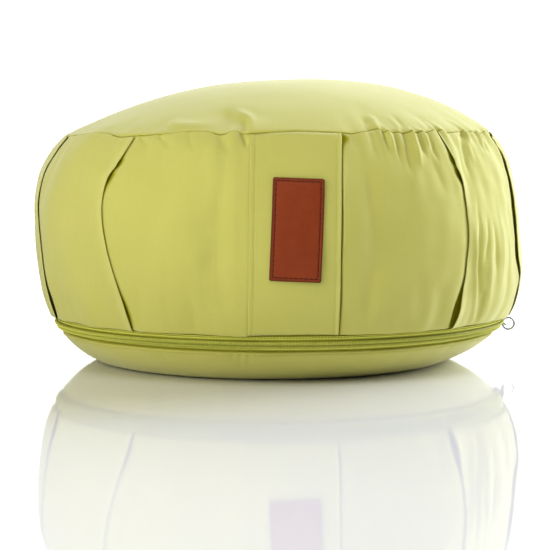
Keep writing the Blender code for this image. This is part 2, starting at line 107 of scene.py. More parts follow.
def smooth_rows(rows: Any, places: Field | int) -> Field:
    """Points of a smooth curve through rows of numbers.

    Args:
        rows: The rows that the curve goes through.
        places: Where to read it, from 0 to 1 along its chords, or how many even places.

    Returns:
        One row for each place.
    """
    points = np.array(rows, dtype=float)
    chord = walked(points)
    slope = np.gradient(points, chord, axis=0)
    shares = np.linspace(0.0, 1.0, places) if isinstance(places, int) else places
    at = shares * chord[-1]
    span = np.clip(np.searchsorted(chord, at, side="right") - 1, 0, len(points) - 2)
    width = (chord[span + 1] - chord[span])[:, None]
    t = (at[:, None] - chord[span][:, None]) / width
    start, end = points[span], points[span + 1]
    leave, arrive = slope[span] * width, slope[span + 1] * width
    return (
        (2 * t**3 - 3 * t**2 + 1) * start
        + (t**3 - 2 * t**2 + t) * leave
        + (3 * t**2 - 2 * t**3) * end
        + (t**3 - t**2) * arrive
    )


# ---- the filled form

# The side's half section: radius and height, in millimetres
SIDE: Rows = (
    (147, 158.4), (152.3, 152), (158.2, 142), (163.1, 130), (166.6, 115), (168.8, 86), (166.3, 55),
    (162.8, 42), (158.4, 32), (152.4, 23), (142.4, 13), (131, 5.6), (121.5, 1.4), (112, 0),
)
# How far the filling bulges towards +X: height and bulge, in millimetres
SLUMP: Rows = (
    (0, -4), (25, 1), (50, 3), (85, 0.4), (125, -2.3), (150, -0.6), (200, 0),
)


@dataclass
class Form:
    """The filled form, in the same numbers as the part's source."""

    seam_radius: float = 147.0 * MM
    seam_height: float = 158.4 * MM
    crown_rise: float = 36.0 * MM
    crown_fullness: float = 2.5
    crown_tilt: float = 0.035
    tilt_power: int = 6
    seam_dip: float = 2.4 * MM
    dip_round_power: float = 1.5
    dip_height_power: int = 2
    zip_height: float = 26.6 * MM
    frame_step: float = 0.5 * MM
    samples: int = 240

    def __post_init__(self) -> None:
        """Works out the half section, its distances and its outward direction."""
        crown = np.linspace(0.0, self.seam_radius, self.samples)[:-1]
        share = (crown / self.seam_radius) ** self.crown_fullness
        side = smooth_rows(SIDE, self.samples) * MM
        self.radius = np.concatenate([crown, side[:, 0]])
        self.height = np.concatenate([self.seam_height + self.crown_rise * (1 - share), side[:, 1]])
        steps = np.hypot(np.diff(self.radius), np.diff(self.height))
        down = np.concatenate([[0.0], np.cumsum(steps)])
        self.distance = down - down[len(crown)]
        self.out_radius = -np.gradient(self.height, self.distance)
        self.out_height = np.gradient(self.radius, self.distance)
        self.slump = smooth_rows(SLUMP, self.samples) * MM
        self.crown_start = float(self.distance[0])
        self.foot = float(self.distance[-1])
        below = self.distance >= 0
        self.zip_line = float(np.interp(-self.zip_height, -self.height[below], self.distance[below]))

    def read(self, values: Field, distance: Any) -> Any:
        """Values of the half section at distances."""
        return np.interp(distance, self.distance, values)

    def radius_at(self, distance: Any) -> Any:
        """Radius of the cloth at a distance."""
        return self.read(self.radius, distance)

    def place(self, angle: Any, distance: Any, depth: Any = 0.0) -> Field:
        """Points on or under the cloth.

        Args:
            angle: Angles round the axis.
            distance: Distances down the cloth.
            depth: Depths under its face.

        Returns:
            The points, in the row frame.
        """
        given = (np.asarray(value, float) for value in (angle, distance, depth))
        angle, distance, depth = np.broadcast_arrays(*given)
        radius = self.radius_at(distance) - depth * self.read(self.out_radius, distance)
        height = self.read(self.height, distance) - depth * self.read(self.out_height, distance)
        side = np.sin(angle)
        inward = np.clip(radius / self.seam_radius, 0.0, 1.0) ** self.tilt_power
        tilt = np.where(distance < 0, self.crown_tilt * radius * side * (1 - inward), 0.0)
        bulge = np.interp(height, self.slump[:, 0], self.slump[:, 1])
        radius = np.where(distance < 0, radius, radius + side * bulge)
        leftward = np.maximum(0.0, -radius * side / self.seam_radius)
        upward = np.clip(height / self.seam_height, 0.0, 1.0)
        dip = self.seam_dip * leftward**self.dip_round_power * upward**self.dip_height_power
        return np.stack([radius * side, -radius * np.cos(angle), height + tilt - dip], axis=-1)

    def frame_at(self, angle: float, distance: float) -> Matrix:
        """A placing whose X runs along the cloth, Y up it and Z out of it.

        Args:
            angle: Angle of its origin.
            distance: Distance of its origin.

        Returns:
            The placing, in the row frame.
        """
        step = self.frame_step
        turn = step / self.radius_at(distance)
        along = Vector(self.place(angle + turn, distance) - self.place(angle - turn, distance))
        down = Vector(self.place(angle, distance + step) - self.place(angle, distance - step))
        x_axis = along.normalized()
        z_axis = down.cross(along).normalized()
        axes = Matrix((x_axis, z_axis.cross(x_axis), z_axis)).transposed().to_4x4()
        return Matrix.Translation(Vector(self.place(angle, distance))) @ axes


FORM = Form()


# ---- sizes of the sewing


@dataclass(frozen=True)
class Sewing:
    """Sizes that the cover's pieces share."""

    seam_lip: float = 1.4 * MM
    seam_depth: float = 2.4 * MM
    seam_pinch: float = 0.3 * MM
    strip_width: float = 56.6 * MM
    strip_thickness: float = 1.5 * MM
    strip_proud: float = 0.8 * MM
    strip_clear: float = 0.45 * MM
    tape_reach: float = 6.0 * MM
    tape_face: float = 1.0 * MM
    tape_thickness: float = 0.9 * MM
    coil_width: float = 6.0 * MM
    coil_gap: float = 0.3 * MM
    bed_clear: float = 0.39 * MM
    bed_margin: float = 0.6 * MM
    zip_half_angle: float = 97.0 * DEGREE
    zip_end_margin: float = 2.0 * DEGREE
    zip_end_ease: float = 6.0 * DEGREE

    @property
    def bed_depth(self) -> float:
        """Depth of the channel that holds the zip."""
        return self.tape_face + self.tape_thickness + self.bed_clear

    @property
    def bed_edge(self) -> float:
        """Half the width of the channel that holds the zip."""
        return self.tape_reach + self.bed_margin

    @property
    def band_length(self) -> float:
        """Length of the side band, from the top seam to the zip."""
        return FORM.zip_line - self.bed_edge

    def strip_face(self, across: Any) -> Any:
        """Depth of the front strip's face: flush at its left seam, proud at its fold."""
        share = (across + self.strip_width / 2) / self.strip_width
        return -self.strip_proud * share**2

    def zip_share(self, angle: Field) -> Field:
        """1 where the zip lies, easing to 0 where the back has a plain seam."""
        past = np.abs(wrapped(angle)) - self.zip_half_angle - self.zip_end_margin
        return ease(1.0 - past / self.zip_end_ease)


SEWING = Sewing()
HALF_STRIP = SEWING.strip_width / MM / 2
STRIP_FLOOR = (SEWING.strip_thickness + SEWING.strip_clear) / MM

# Cross-sections of folds and seams. A row is a point: how far across it lies from the
# fold's edge, positive past the flap, its depth, the share of the gape by which it stands
# off, where it lies when a seam presses the fold flat, and how many strips of mesh follow
# it. Lengths are in millimetres.
PLEAT: Rows = (
    (-14, 0, 0, -14, 5), (-6, -0.22, 0.1, -8.2, 4), (-1.8, -0.46, 0.35, -5.6, 4),
    (-0.35, -0.42, 0.4, -4.3, 2), (0, -0.18, 0.4, -3.6, 2), (-0.4, 0.06, 0.4, -2.9, 2),
    (-2.4, 0.14, 0.35, -2.1, 3), (-9.8, 0.6, 0, -0.9, 2), (-10.5, 0.95, 0, 0, 2),
    (-9.8, 1.3, 0, 0.9, 3), (-1.4, 0.78, -0.75, 2.5, 5), (0.9, 0.36, -0.6, 3.8, 3),
    (4.2, 0.06, -0.12, 6.2, 4), (10, 0, 0, 10, 0),
)
BACK_PLEAT: Rows = tuple((*point, max(1, steps // 2)) for *point, steps in PLEAT)
BACK_SEAM: Rows = (
    (-5, 0, 0, -5, 3), (-1.2, 0.3, 0, -1.2, 3), (0, 2.2, 0, 0, 3), (1.2, 0.3, 0, 1.2, 3),
    (5, 0, 0, 5, 0),
)
ZIP_END: Rows = ((-3, 0, 0, -3, 3), (3, 0, 0, 3, 0))
# The strip's bed is measured from its left edge (-1), its middle (0) or its right edge (1)
STRIP_BED: Rows = tuple(
    (edge * HALF_STRIP + across, depth, lift, edge * HALF_STRIP + flat, steps)
    for edge, across, depth, lift, flat, steps in (
        (-1, -4.5, 0, 0, -4.5, 4), (-1, -0.9, 0, 0, -1.2, 2), (-1, -0.1, 0.14, 0, -0.5, 2),
        (-1, 0.7, 0.6, 0, 0.4, 2), (-1, 3, STRIP_FLOOR, 0, 3, 1), (-0.5, 0, STRIP_FLOOR, 0, 0, 1),
        (0, 0, STRIP_FLOOR, 0, 0, 1), (0.5, 0, STRIP_FLOOR, 0, 0, 1), (1, -2, STRIP_FLOOR, 0, -2, 2),
        (1, 0.5, STRIP_FLOOR, -0.2, 0.5, 2), (1, 1, 1, -1, 1, 2), (1, 1.5, 0.28, -1, 1.7, 3),
        (1, 3.6, 0.04, -0.45, 3.8, 3), (1, 11, 0, 0, 11, 0),
    )
)

# Lines of folds and seams down the side band. A row is a distance in millimetres, the
# fold's angle there in degrees and its gape in millimetres.
STRIP_LINE: Rows = (
    (0, 0.4, 0), (4, 0.35, 2.2), (8, 0.25, 0.9), (14, 0.15, 0), (60, -0.35, 0), (133, -0.58, 0),
)
LEFT_PLEAT: Rows = (
    (0, -41.3, 0.3), (11.4, -41.8, 0.3), (17, -42.4, 0.6), (22.4, -43, 1.6), (26.5, -43.7, 0.6),
    (31, -44.3, 1.6), (36.5, -44.8, 0.8), (42, -45, 0.3), (58.4, -44.8, 0.2), (78.9, -43.5, 0.2),
    (91, -42.5, 0.2), (104.4, -41.2, 0.4), (120, -40, 1.2), (133, -39.6, 0.3),
)
RIGHT_PLEAT: Rows = (
    (0, 40.2, 0.2), (9.9, 40.2, 0.3), (17.4, 40.5, 0.8), (22, 40.8, 1.8), (26.5, 41, 0.8),
    (31, 41.5, 1.9), (38, 42.1, 0.7), (48.4, 42, 0.4), (74, 41.5, 0.3), (92, 40.8, 0.3),
    (103, 40.4, 0.7), (111, 40.2, 2.2), (119, 40.1, 4.4), (126, 40, 3.2), (133, 39.8, 0.8),
)
FAR_LEFT_PLEAT: Rows = (
    (0, -76.6, 0.5), (18, -78, 0.2), (30, -78.4, 0.3), (47.9, -78.2, 0.4), (62, -75.9, 0.2),
    (77, -74.8, 0.2), (93, -73.4, 0.2), (109, -72.8, 0.6), (121, -73.2, 1.6), (133, -75, 0.3),
)
FAR_RIGHT_PLEAT: Rows = (
    (0, 77, 0.3), (8, 72.6, 0.9), (20, 69.2, 1.1), (33, 68.2, 1.1), (48.4, 67.3, 1.2), (67, 66.9, 1.6),
    (84, 67.5, 1.6), (96, 68.6, 1.2), (110, 71.6, 0.8), (133, 75, 0.3),
)


def straight(angle: float) -> Rows:
    """The line of a seam that keeps its angle down the band."""
    return ((0, angle, 0), (65, angle, 0), (133, angle, 0))


def guessed_pleat(top: float, middle: float, bottom: float) -> Rows:
    """The line of a pleat that the photograph doesn't show."""
    return ((0, top, 0.7), (46, middle, 1), (93, middle, 0.8), (133, bottom, 0.6))


@dataclass
class Feature:
    """A fold or seam that runs down the side band."""

    section: Rows
    line: Rows
    hand: int = 1
    samples: int = 120

    def __post_init__(self) -> None:
        """Smooths the section and the line."""
        points = np.array(self.section, dtype=float)[:, :4]
        chord = walked(points)
        shares = []
        for (*_, steps), start, end in zip(self.section, chord, chord[1:]):
            shares += list(np.linspace(start, end, steps + 1)[:-1] / chord[-1])
        curve = smooth_rows(points, np.array([*shares, 1.0]))
        if self.hand < 0:
            curve = curve[::-1] * (-1, 1, 1, -1)
        self.across, self.depth, self.lift, self.flat = curve.T
        self.bends = smooth_rows(self.line, self.samples)

    def ring(self, distance: float, folded: float) -> tuple[Field, Field]:
        """The feature's points at a distance.

        Args:
            distance: Distance down the band.
            folded: 1 where the fold stands open, 0 where a seam presses it flat.

        Returns:
            The angle and the depth of each point.
        """
        places, centres, gapes = self.bends.T
        centre, gape = (np.interp(distance / MM, places, values) for values in (centres, gapes))
        across = self.flat + (self.across - self.flat) * folded
        depth = (self.depth - self.lift * gape) * folded
        return centre * DEGREE + across * MM / FORM.radius_at(distance), depth * MM


FEATURES = (
    Feature(BACK_SEAM, straight(-180.0)),
    Feature(BACK_PLEAT, guessed_pleat(-149.0, -150.0, -146.0)),
    Feature(BACK_PLEAT, guessed_pleat(-117.0, -118.5, -114.0)),
    Feature(ZIP_END, straight(-99.0)),
    Feature(PLEAT, FAR_LEFT_PLEAT),
    Feature(PLEAT, LEFT_PLEAT),
    Feature(STRIP_BED, STRIP_LINE),
    Feature(PLEAT, RIGHT_PLEAT, hand=-1),
    Feature(PLEAT, FAR_RIGHT_PLEAT, hand=-1),
    Feature(ZIP_END, straight(99.0)),
    Feature(BACK_PLEAT, guessed_pleat(117.0, 115.5, 118.0), hand=-1),
    Feature(BACK_PLEAT, guessed_pleat(149.0, 150.0, 147.0), hand=-1),
)


# ---- relief of the cloth

# Wrinkles. A row is a width and a lift in millimetres, positive for a ridge and negative
# for a furrow, the shares of it that are left at its first and its last place, and then its
# places, in degrees and millimetres: on the crown, on the band and on the base.
CREASES: Rows = (
    (3.6, 2.1, 0, 0.6, (-21, -34), (-16, -28), (-12.2, -19), (-10.4, -10), (-10.2, -3)),
    (2.6, -1.7, 0, 0.8, (-13.6, -20), (-12.6, -12), (-11.8, -3)),
    (8, -1.8, 0, 0.5, (-20, -36), (-18, -20), (-16.5, -4)),
    (4.5, 1.4, 0, 0.2, (-36, -20), (-28.8, -8.5), (-21.5, -6.5)),
    (2.3, 1.4, 0, 0.9, (23.6, -20), (22.5, -11), (21.6, -2)),
    (3.3, -1.3, 0, 0.7, (20.8, -19), (19.9, -10), (19.3, -2)),
    (2, -0.72, 0, 0.8, (30.6, -19), (29.6, -8), (29.2, -2)),
    (2, 0.6, 0, 0.8, (28.6, -16), (28, -7), (27.8, -2)),
    (2.2, -0.66, 0, 0.8, (39.8, -16), (38.6, -6), (38, -2)),
    (2.2, 0.42, 0, 0.8, (37.2, -15), (36.6, -2)), (2.4, -0.42, 0, 0.8, (33.6, -13), (33.4, -2)),
    (3, 0.48, 0, 0.8, (53, -14), (52, -2)), (1.1, -2.3, 1, 0, (-12.6, 1), (-11.6, 6.4), (-11.3, 12)),
    (2.6, 0.6, 0, 0, (-9.6, 10), (-9.8, 24)), (3, -1.2, 1, 0, (-18.2, 2), (-16.4, 10), (-14.5, 17)),
    (3, 0.8, 1, 0, (-15.4, 1), (-13.4, 10)), (1.8, -0.5, 0, 0, (-6, 15), (-6.6, 24)),
    (1.4, -1.08, 1, 0, (-39, 2), (-34.5, 12)), (1.5, -1.26, 1, 0, (-33.8, 2), (-28.5, 13)),
    (2.4, -0.45, 0.5, 0, (-37, 8), (-35, 30)), (2, -0.9, 1, 0, (-26, 2), (-23, 16)),
    (1.3, -1, 0.8, 0, (-43.2, 25), (-42, 32), (-40.8, 40)), (3, -0.7, 1, 0, (13.4, 2), (14.4, 12)),
    (3.3, -1.24, 1, 0, (19, 1), (18.4, 22)), (1.6, -1.4, 1, 0, (22.9, 0), (22.5, 14)),
    (1.8, 1.08, 1, 0, (24.2, 0), (23.8, 20)), (1.8, -1.55, 1, 0, (25.8, 0), (25.2, 11), (25, 26)),
    (2.1, -1.71, 1, 0, (28.6, 0), (27.4, 14), (27, 36)),
    (1.6, 1.86, 1, 0, (30.9, 0), (30.2, 10), (30, 28)),
    (1.3, -1.71, 1, 0, (32.8, 0), (32.2, 9), (32.2, 20)), (1.3, 1.24, 1, 0, (34.5, 0), (34.2, 14)),
    (1.4, -1.55, 1, 0, (36.2, 0), (35.5, 12), (35.8, 26)),
    (3.6, -0.8, 0, 0, (33.6, 12), (34.5, 30), (36.5, 48)),
    (2, -2.02, 1, 0, (51.6, 0), (48.4, 8.4), (47, 20.4), (46.4, 36)),
    (2.3, 1.24, 1, 0, (53.8, 0), (50.8, 10), (49.4, 26)),
    (1.4, -1.55, 1, 0, (58.4, 0), (57, 8), (56.8, 18)), (1.3, 1.24, 1, 0, (60, 0), (58, 12)),
    (1.4, -1.55, 1, 0, (62, 0), (60, 8), (58.4, 20)), (2.1, -1.08, 1, 0, (66, 0), (63.6, 14)),
    (2.6, 1.75, 0, 0.4, (43.6, 58), (44.2, 90), (47.2, 128)),
    (2, -1.75, 0, 0.3, (47.2, 38), (45.8, 67), (46.2, 95), (48.8, 126)),
    (1.7, -1.25, 0, 0, (49.8, 56), (49, 76), (47, 96)),
    (3, 1, 0, 0, (50.6, 72), (50.2, 96), (51.4, 122)),
    (2.4, -1.38, 0, 0, (52, 60), (53.2, 90), (53, 108)),
    (3.6, 1.12, 0, 0, (56, 50), (56.4, 80), (56, 116)),
    (3, -0.88, 0, 0, (59.8, 64), (60.4, 92), (60, 120)), (1.5, -1.12, 0, 0.6, (48.4, 106), (49.4, 127)),
    (1.8, -0.9, 0.3, 0, (44.8, 12), (43.8, 26), (44.4, 42)),
    (0.7, -0.35, 0.2, 0.2, (15, 75.2), (16, 76.6)), (12, -0.7, 0, 0, (-29, 60), (-27, 108)),
    (12, 0.8, 0, 0, (-70, 20), (-66, 100)), (14, -0.8, 0, 0, (26, 50), (25, 110)),
    (1.5, -0.7, 0.8, 0, (-12.4, 146), (-13.2, 153), (-14, 163)),
    (1.5, -0.7, 0.8, 0, (-10.4, 146), (-11.9, 160)), (1.5, -0.5, 0.8, 0, (-14.6, 146), (-15.4, 155)),
    (2.4, -0.5, 0.8, 0, (18, 146), (17, 158)), (2.6, -0.5, 0.8, 0, (-34, 146), (-33, 160)),
    (2.6, -0.5, 0.8, 0, (44, 146), (46, 158)),
)
# How far the top seam lies below its even line: degrees and millimetres
SEAM_WAVE: Rows = (
    (-180, 0), (-150, 0.6), (-120, -0.5), (-96, 0.4), (-84, 0.4), (-62, -0.8), (-53, -1.4),
    (-46.5, 2.2), (-42, 1.6), (-34, 0.4), (-28, -1), (-20.8, -0.4), (-18, 1.5), (-14.4, -1),
    (-10.8, 1.3), (-6.5, -0.2), (2, -1), (10.2, 0.5), (13, 0.8), (16.2, -0.2), (20.8, -3.6), (23.4, -1),
    (28.2, 0.4), (36.8, -0.2), (40.2, -1.9), (44.8, 0.4), (51, -1.4), (59, 0.2), (70, -0.8), (79, -0.6),
    (96, 0.3), (120, -0.6), (150, 0.6), (180, 0),
)
# How strongly the cloth is gathered at the top seam: degrees and strength
GATHERS: Rows = (
    (-180, 0.8), (-110, 0.7), (-90, 0.2), (-60, 0.12), (-30, 0.3), (-17, 0.5), (-9, 0.15), (9, 0.15),
    (16, 0.5), (30, 0.8), (60, 0.9), (85, 0.6), (115, 0.8), (180, 0.8),
)


@dataclass
class Wrinkle:
    """One wrinkle of the cloth, from a row of its table."""

    width: float
    lift: float
    head: float
    tail: float
    places: Rows
    samples: int = 14
    reach: float = 3.2
    head_run: float = 0.35
    tail_run: float = 0.45
    ridge_power: float = 2.0
    furrow_power: float = 1.4

    def __post_init__(self) -> None:
        """Smooths the wrinkle's line."""
        self.line = smooth_rows(self.places, self.samples) * (DEGREE, MM)

    def near(self, angle: Field, distance: Field) -> Field:
        """Which places the wrinkle reaches.

        Args:
            angle: Their angles.
            distance: Their distances.

        Returns:
            Whether it reaches each.
        """
        low, high = self.line.min(axis=0), self.line.max(axis=0)
        pad = self.reach * self.width * MM
        turn = pad / FORM.radius_at(self.line[:, 1].mean())
        along = (distance > low[1] - pad) & (distance < high[1] + pad)
        return along & (angle > low[0] - turn) & (angle < high[0] + turn)

    def raise_cloth(self, total: Field, angle: Field, distance: Field) -> None:
        """Adds the wrinkle's height to a total.

        Args:
            total: Heights so far, which are changed.
            angle: Angles of the places.
            distance: Distances of the places.
        """
        near = self.near(angle, distance)
        scale = FORM.radius_at(distance[near])
        best, share = np.full(scale.shape, np.inf), np.zeros(scale.shape)
        for index, (start, end) in enumerate(zip(self.line, self.line[1:])):
            run = np.stack([(end[0] - start[0]) * scale, np.full(scale.shape, end[1] - start[1])], -1)
            off = np.stack([(angle[near] - start[0]) * scale, distance[near] - start[1]], -1)
            t = np.clip((off * run).sum(-1) / (run * run).sum(-1), 0.0, 1.0)
            gap = np.linalg.norm(off - run * t[:, None], axis=-1)
            closer = gap < best
            best = np.where(closer, gap, best)
            share = np.where(closer, (index + t) / (len(self.line) - 1), share)
        fade_in = self.head + (1 - self.head) * ease(share / self.head_run)
        fade_out = self.tail + (1 - self.tail) * ease((1 - share) / self.tail_run)
        power = self.ridge_power if self.lift > 0 else self.furrow_power
        bulk = np.exp(-((best / (self.width * MM)) ** power))
        total[near] += self.lift * MM * bulk * fade_in * fade_out


@dataclass
class Ripples:
    """Soft random waves in space, from a fixed seed."""

    seed: int
    longest: float
    shortest: float
    stretch: Colour = (1.0, 1.0, 1.0)
    waves: int = 26
    calming: float = 0.6

    def __post_init__(self) -> None:
        """Draws each wave's direction, length and start."""
        draw = np.random.default_rng(self.seed)
        heading = unit(draw.normal(size=(self.waves, 3)) * self.stretch)
        length = np.geomspace(self.longest, self.shortest, self.waves)
        self.vectors = heading * (TURN / length)[:, None]
        self.starts = draw.uniform(0.0, TURN, self.waves)
        self.weights = (length / self.longest) ** self.calming
        self.weights /= math.sqrt(float((self.weights**2).sum()) / 2)

    def at(self, points: Field) -> Field:
        """The waves' height, mostly between -1.5 and 1.5.

        Args:
            points: Where to read it.

        Returns:
            The height at each point.
        """
        total = np.zeros(points.shape[:-1])
        for vector, start, weight in zip(self.vectors, self.starts, self.weights):
            total += weight * np.sin(points @ vector + start)
        return total


@dataclass
class Relief:
    """Everything that raises or lowers the cloth away from the even form."""

    wave_reach: float = 13.0 * MM
    wave_samples: int = 900
    gather_reach: float = 13.0 * MM
    gather_fall: float = 1.5
    crown_gather: float = 0.4
    gather_height: float = 0.6 * MM
    swell_height: float = 0.65 * MM
    drag_height: float = 0.3 * MM
    drag_least: float = 0.2
    rest_fade: float = 24.0 * MM
    crown_calm: float = 0.15
    base_calm: float = 0.25
    calm_run: float = 20.0 * MM

    def __post_init__(self) -> None:
        """Draws the random parts once."""
        self.wave = smooth_rows(SEAM_WAVE, self.wave_samples)
        self.swell = Ripples(seed=11, longest=95 * MM, shortest=34 * MM)
        self.drag = Ripples(seed=23, longest=30 * MM, shortest=9 * MM, stretch=(1.0, 1.0, 0.25))
        self.pucker = Ripples(seed=5, longest=15 * MM, shortest=4.5 * MM, stretch=(1.0, 1.0, 0.02))
        self.wrinkles = [Wrinkle(*row[:4], row[4:]) for row in CREASES]
        self.settled: Field | None = None

    def seam_shift(self, angle: Field, distance: Field) -> Field:
        """The distances once the top seam's waviness has moved the cloth near it.

        Args:
            angle: Angles of the places.
            distance: Distances of the places.

        Returns:
            The distance of each place.
        """
        turned = (angle / DEGREE + 180.0) % 360.0 - 180.0
        drop = np.interp(turned, self.wave[:, 0], self.wave[:, 1]) * MM
        return distance + drop * bell(distance, 0.0, self.wave_reach)

    def height(self, angle: Field, distance: Field) -> Field:
        """How far the cloth stands off the even form.

        Args:
            angle: Angles of the places.
            distance: Distances of the places.

        Returns:
            The height at each place.
        """
        turned = wrapped(angle)
        points = FORM.place(turned, distance)
        side = ease((distance + self.calm_run) / (2 * self.calm_run))
        calm = self.crown_calm + (1 - self.crown_calm) * side
        under = ease((distance - FORM.zip_line + self.calm_run / 2) / self.calm_run)
        calm = calm * (1 - (1 - self.base_calm) * under)
        total = self.swell_height * self.swell.at(points) * calm
        strength = np.interp(turned / DEGREE, *np.array(GATHERS, dtype=float).T)
        dragged = self.drag_least + (1 - self.drag_least) * ease(strength)
        total += self.drag_height * self.drag.at(points) * calm * dragged
        round_line = np.stack([np.sin(turned), -np.cos(turned), 0 * turned], -1) * FORM.seam_radius
        reach = np.where(distance < 0, self.crown_gather, 1.0) * self.gather_reach
        fall = np.exp(-((np.abs(distance) / reach) ** self.gather_fall))
        total += self.gather_height * (self.pucker.at(round_line) * strength * fall)
        creased = np.zeros_like(turned)
        for wrinkle in self.wrinkles:
            wrinkle.raise_cloth(creased, turned, distance)
        total += creased
        if self.settled is not None:
            total += read_grid(self.settled, turned, distance)
        return total * ease((FORM.foot - distance) / self.rest_fade)


RELIEF = Relief()


def read_grid(grid: Field, angle: Field, distance: Field) -> Field:
    """Values between the places of an even grid of angles by distances.

    Args:
        grid: Its values, from the crown to the foot by a full turn.
        angle: Angles to read.
        distance: Distances to read.

    Returns:
        The value at each place.
    """
    rows, columns = grid.shape
    row = (distance - FORM.crown_start) / (FORM.foot - FORM.crown_start) * (rows - 1)
    row = np.clip(row, 0.0, rows - 1.001)
    column = (angle / TURN % 1.0) * columns
    top, left = row.astype(int), column.astype(int) % columns
    down, over = row - top, column - np.floor(column)
    right = (left + 1) % columns
    upper = grid[top, left] * (1 - over) + grid[top, right] * over
    lower = grid[top + 1, left] * (1 - over) + grid[top + 1, right] * over
    return upper * (1 - down) + lower * down


def outwards(angle: Field, distance: Field) -> Field:
    """The even form's outward direction at places."""
    return unit(FORM.place(angle, distance, -1.0 * MM) - FORM.place(angle, distance))


# ---- meshes


class Ends(Enum):
    """How the two ends of a loft are made."""

    OPEN = "open"
    CAPPED = "capped"
    JOINED = "joined"


class Draft:
    """Gathers the points and faces of one piece, then makes its object."""

    def __init__(self) -> None:
        """Starts with nothing."""
        self.points: list[Field] = []
        self.cloth: list[Field] = []
        self.tone: list[Field] = []
        self.faces: list[list[int]] = []
        self.count = 0

    def keep(self, points: Field, cloth: Field, tone: Field) -> int:
        """Keeps points.

        Args:
            points: The points.
            cloth: Their cloth coordinates.
            tone: Their tones.

        Returns:
            The number of the first one.
        """
        for kept, values in ((self.points, points), (self.cloth, cloth), (self.tone, tone)):
            kept.append(values)
        self.count += len(points)
        return self.count - len(points)

    def loft(
        self,
        loops: Field,
        ends: Ends = Ends.CAPPED,
        cloth: Field | None = None,
        tone: Field | None = None,
    ) -> "Draft":
        """Adds the skin through a row of closed loops.

        Args:
            loops: Points, as loops by places round each loop by three.
            ends: What closes its two ends.
            cloth: Cloth coordinates of the points, as loops by places by two.
            tone: Tone of the points, as loops by places.

        Returns:
            The draft itself.
        """
        rows, columns = loops.shape[:2]
        cloth = np.zeros((rows, columns, 2)) if cloth is None else cloth
        tone = np.zeros((rows, columns)) if tone is None else tone
        first = self.keep(loops.reshape(-1, 3), cloth.reshape(-1, 2), tone.reshape(-1))
        number = first + np.arange(rows * columns).reshape(rows, columns)
        if ends is Ends.JOINED:
            number = np.vstack([number, number[:1]])
        after = np.roll(number, -1, axis=1)
        quads = np.stack([number[:-1], number[1:], after[1:], after[:-1]], axis=-1)
        self.faces += quads.reshape(-1, 4).tolist()
        if ends is Ends.CAPPED:
            for row, step in ((0, 1), (rows - 1, -1)):
                middle = self.keep(*(part[row].mean(axis=0)[None] for part in (loops, cloth, tone)))
                rim = number[row][::step]
                pairs = zip(rim.tolist(), np.roll(rim, -1).tolist())
                self.faces += [[middle, here, after] for here, after in pairs]
        return self

    def make(self, name: str, material: Material) -> bpy.types.Object:
        """Makes the object, with its faces turned outwards and shaded smooth.

        Args:
            name: Its name.
            material: Its material.

        Returns:
            The object, in the scene.
        """
        mesh = bpy.data.meshes.new(name)
        mesh.from_pydata(np.concatenate(self.points), [], self.faces)
        cloth = np.concatenate(self.cloth)
        cloth = np.concatenate([cloth, np.zeros((len(cloth), 1))], axis=1)
        laid = mesh.attributes.new("cloth", "FLOAT_VECTOR", "POINT")
        laid.data.foreach_set("vector", cloth.ravel())
        tone = mesh.attributes.new("tone", "FLOAT", "POINT")
        tone.data.foreach_set("value", np.concatenate(self.tone))
        shape = bmesh.new()
        shape.from_mesh(mesh)
        bmesh.ops.recalc_face_normals(shape, faces=shape.faces)
        shape.to_mesh(mesh)
        shape.free()
        mesh.shade_smooth()
        mesh.materials.append(material)
        piece = bpy.data.objects.new(name, mesh)
        bpy.context.scene.collection.objects.link(piece)
        return piece


def tube(line: Field, radius: float, around: int, closed: bool = False) -> Field:
    """Loops of a round wire along a line.

    Args:
        line: Points that the wire follows.
        radius: Radius of the wire.
        around: Points round it.
        closed: Whether the line's end meets its start.

    Returns:
        One loop for each point of the line.
    """
    if closed:
        heading = unit(np.roll(line, -1, axis=0) - np.roll(line, 1, axis=0))
        spokes = line - line.mean(axis=0)
        side = unit(np.cross(heading, np.cross(spokes[0], spokes[len(line) // 4])))
    else:
        heading = unit(np.gradient(line, axis=0))
        side = unit(np.cross(heading, heading.mean(axis=0) + ASIDE))
    turn = np.linspace(0.0, TURN, around, endpoint=False)[:, None]
    ring = np.cos(turn) * side[:, None] + np.sin(turn) * np.cross(heading, side)[:, None]
    return line[:, None] + radius * ring


def ride(piece: bpy.types.Object, slot: str, *nodes: str) -> bpy.types.Object:
    """Hangs a piece on the part's body.

    Args:
        piece: The piece.
        slot: Its material slot.
        nodes: The nodes that it stands for.

    Returns:
        The piece.
    """
    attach(piece, BODY)
    if nodes:
        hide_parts(*nodes)
    LOG.info("%s: %d faces, slot %s", piece.name, len(piece.data.polygons), slot)
    return piece


# ---- the filling settles


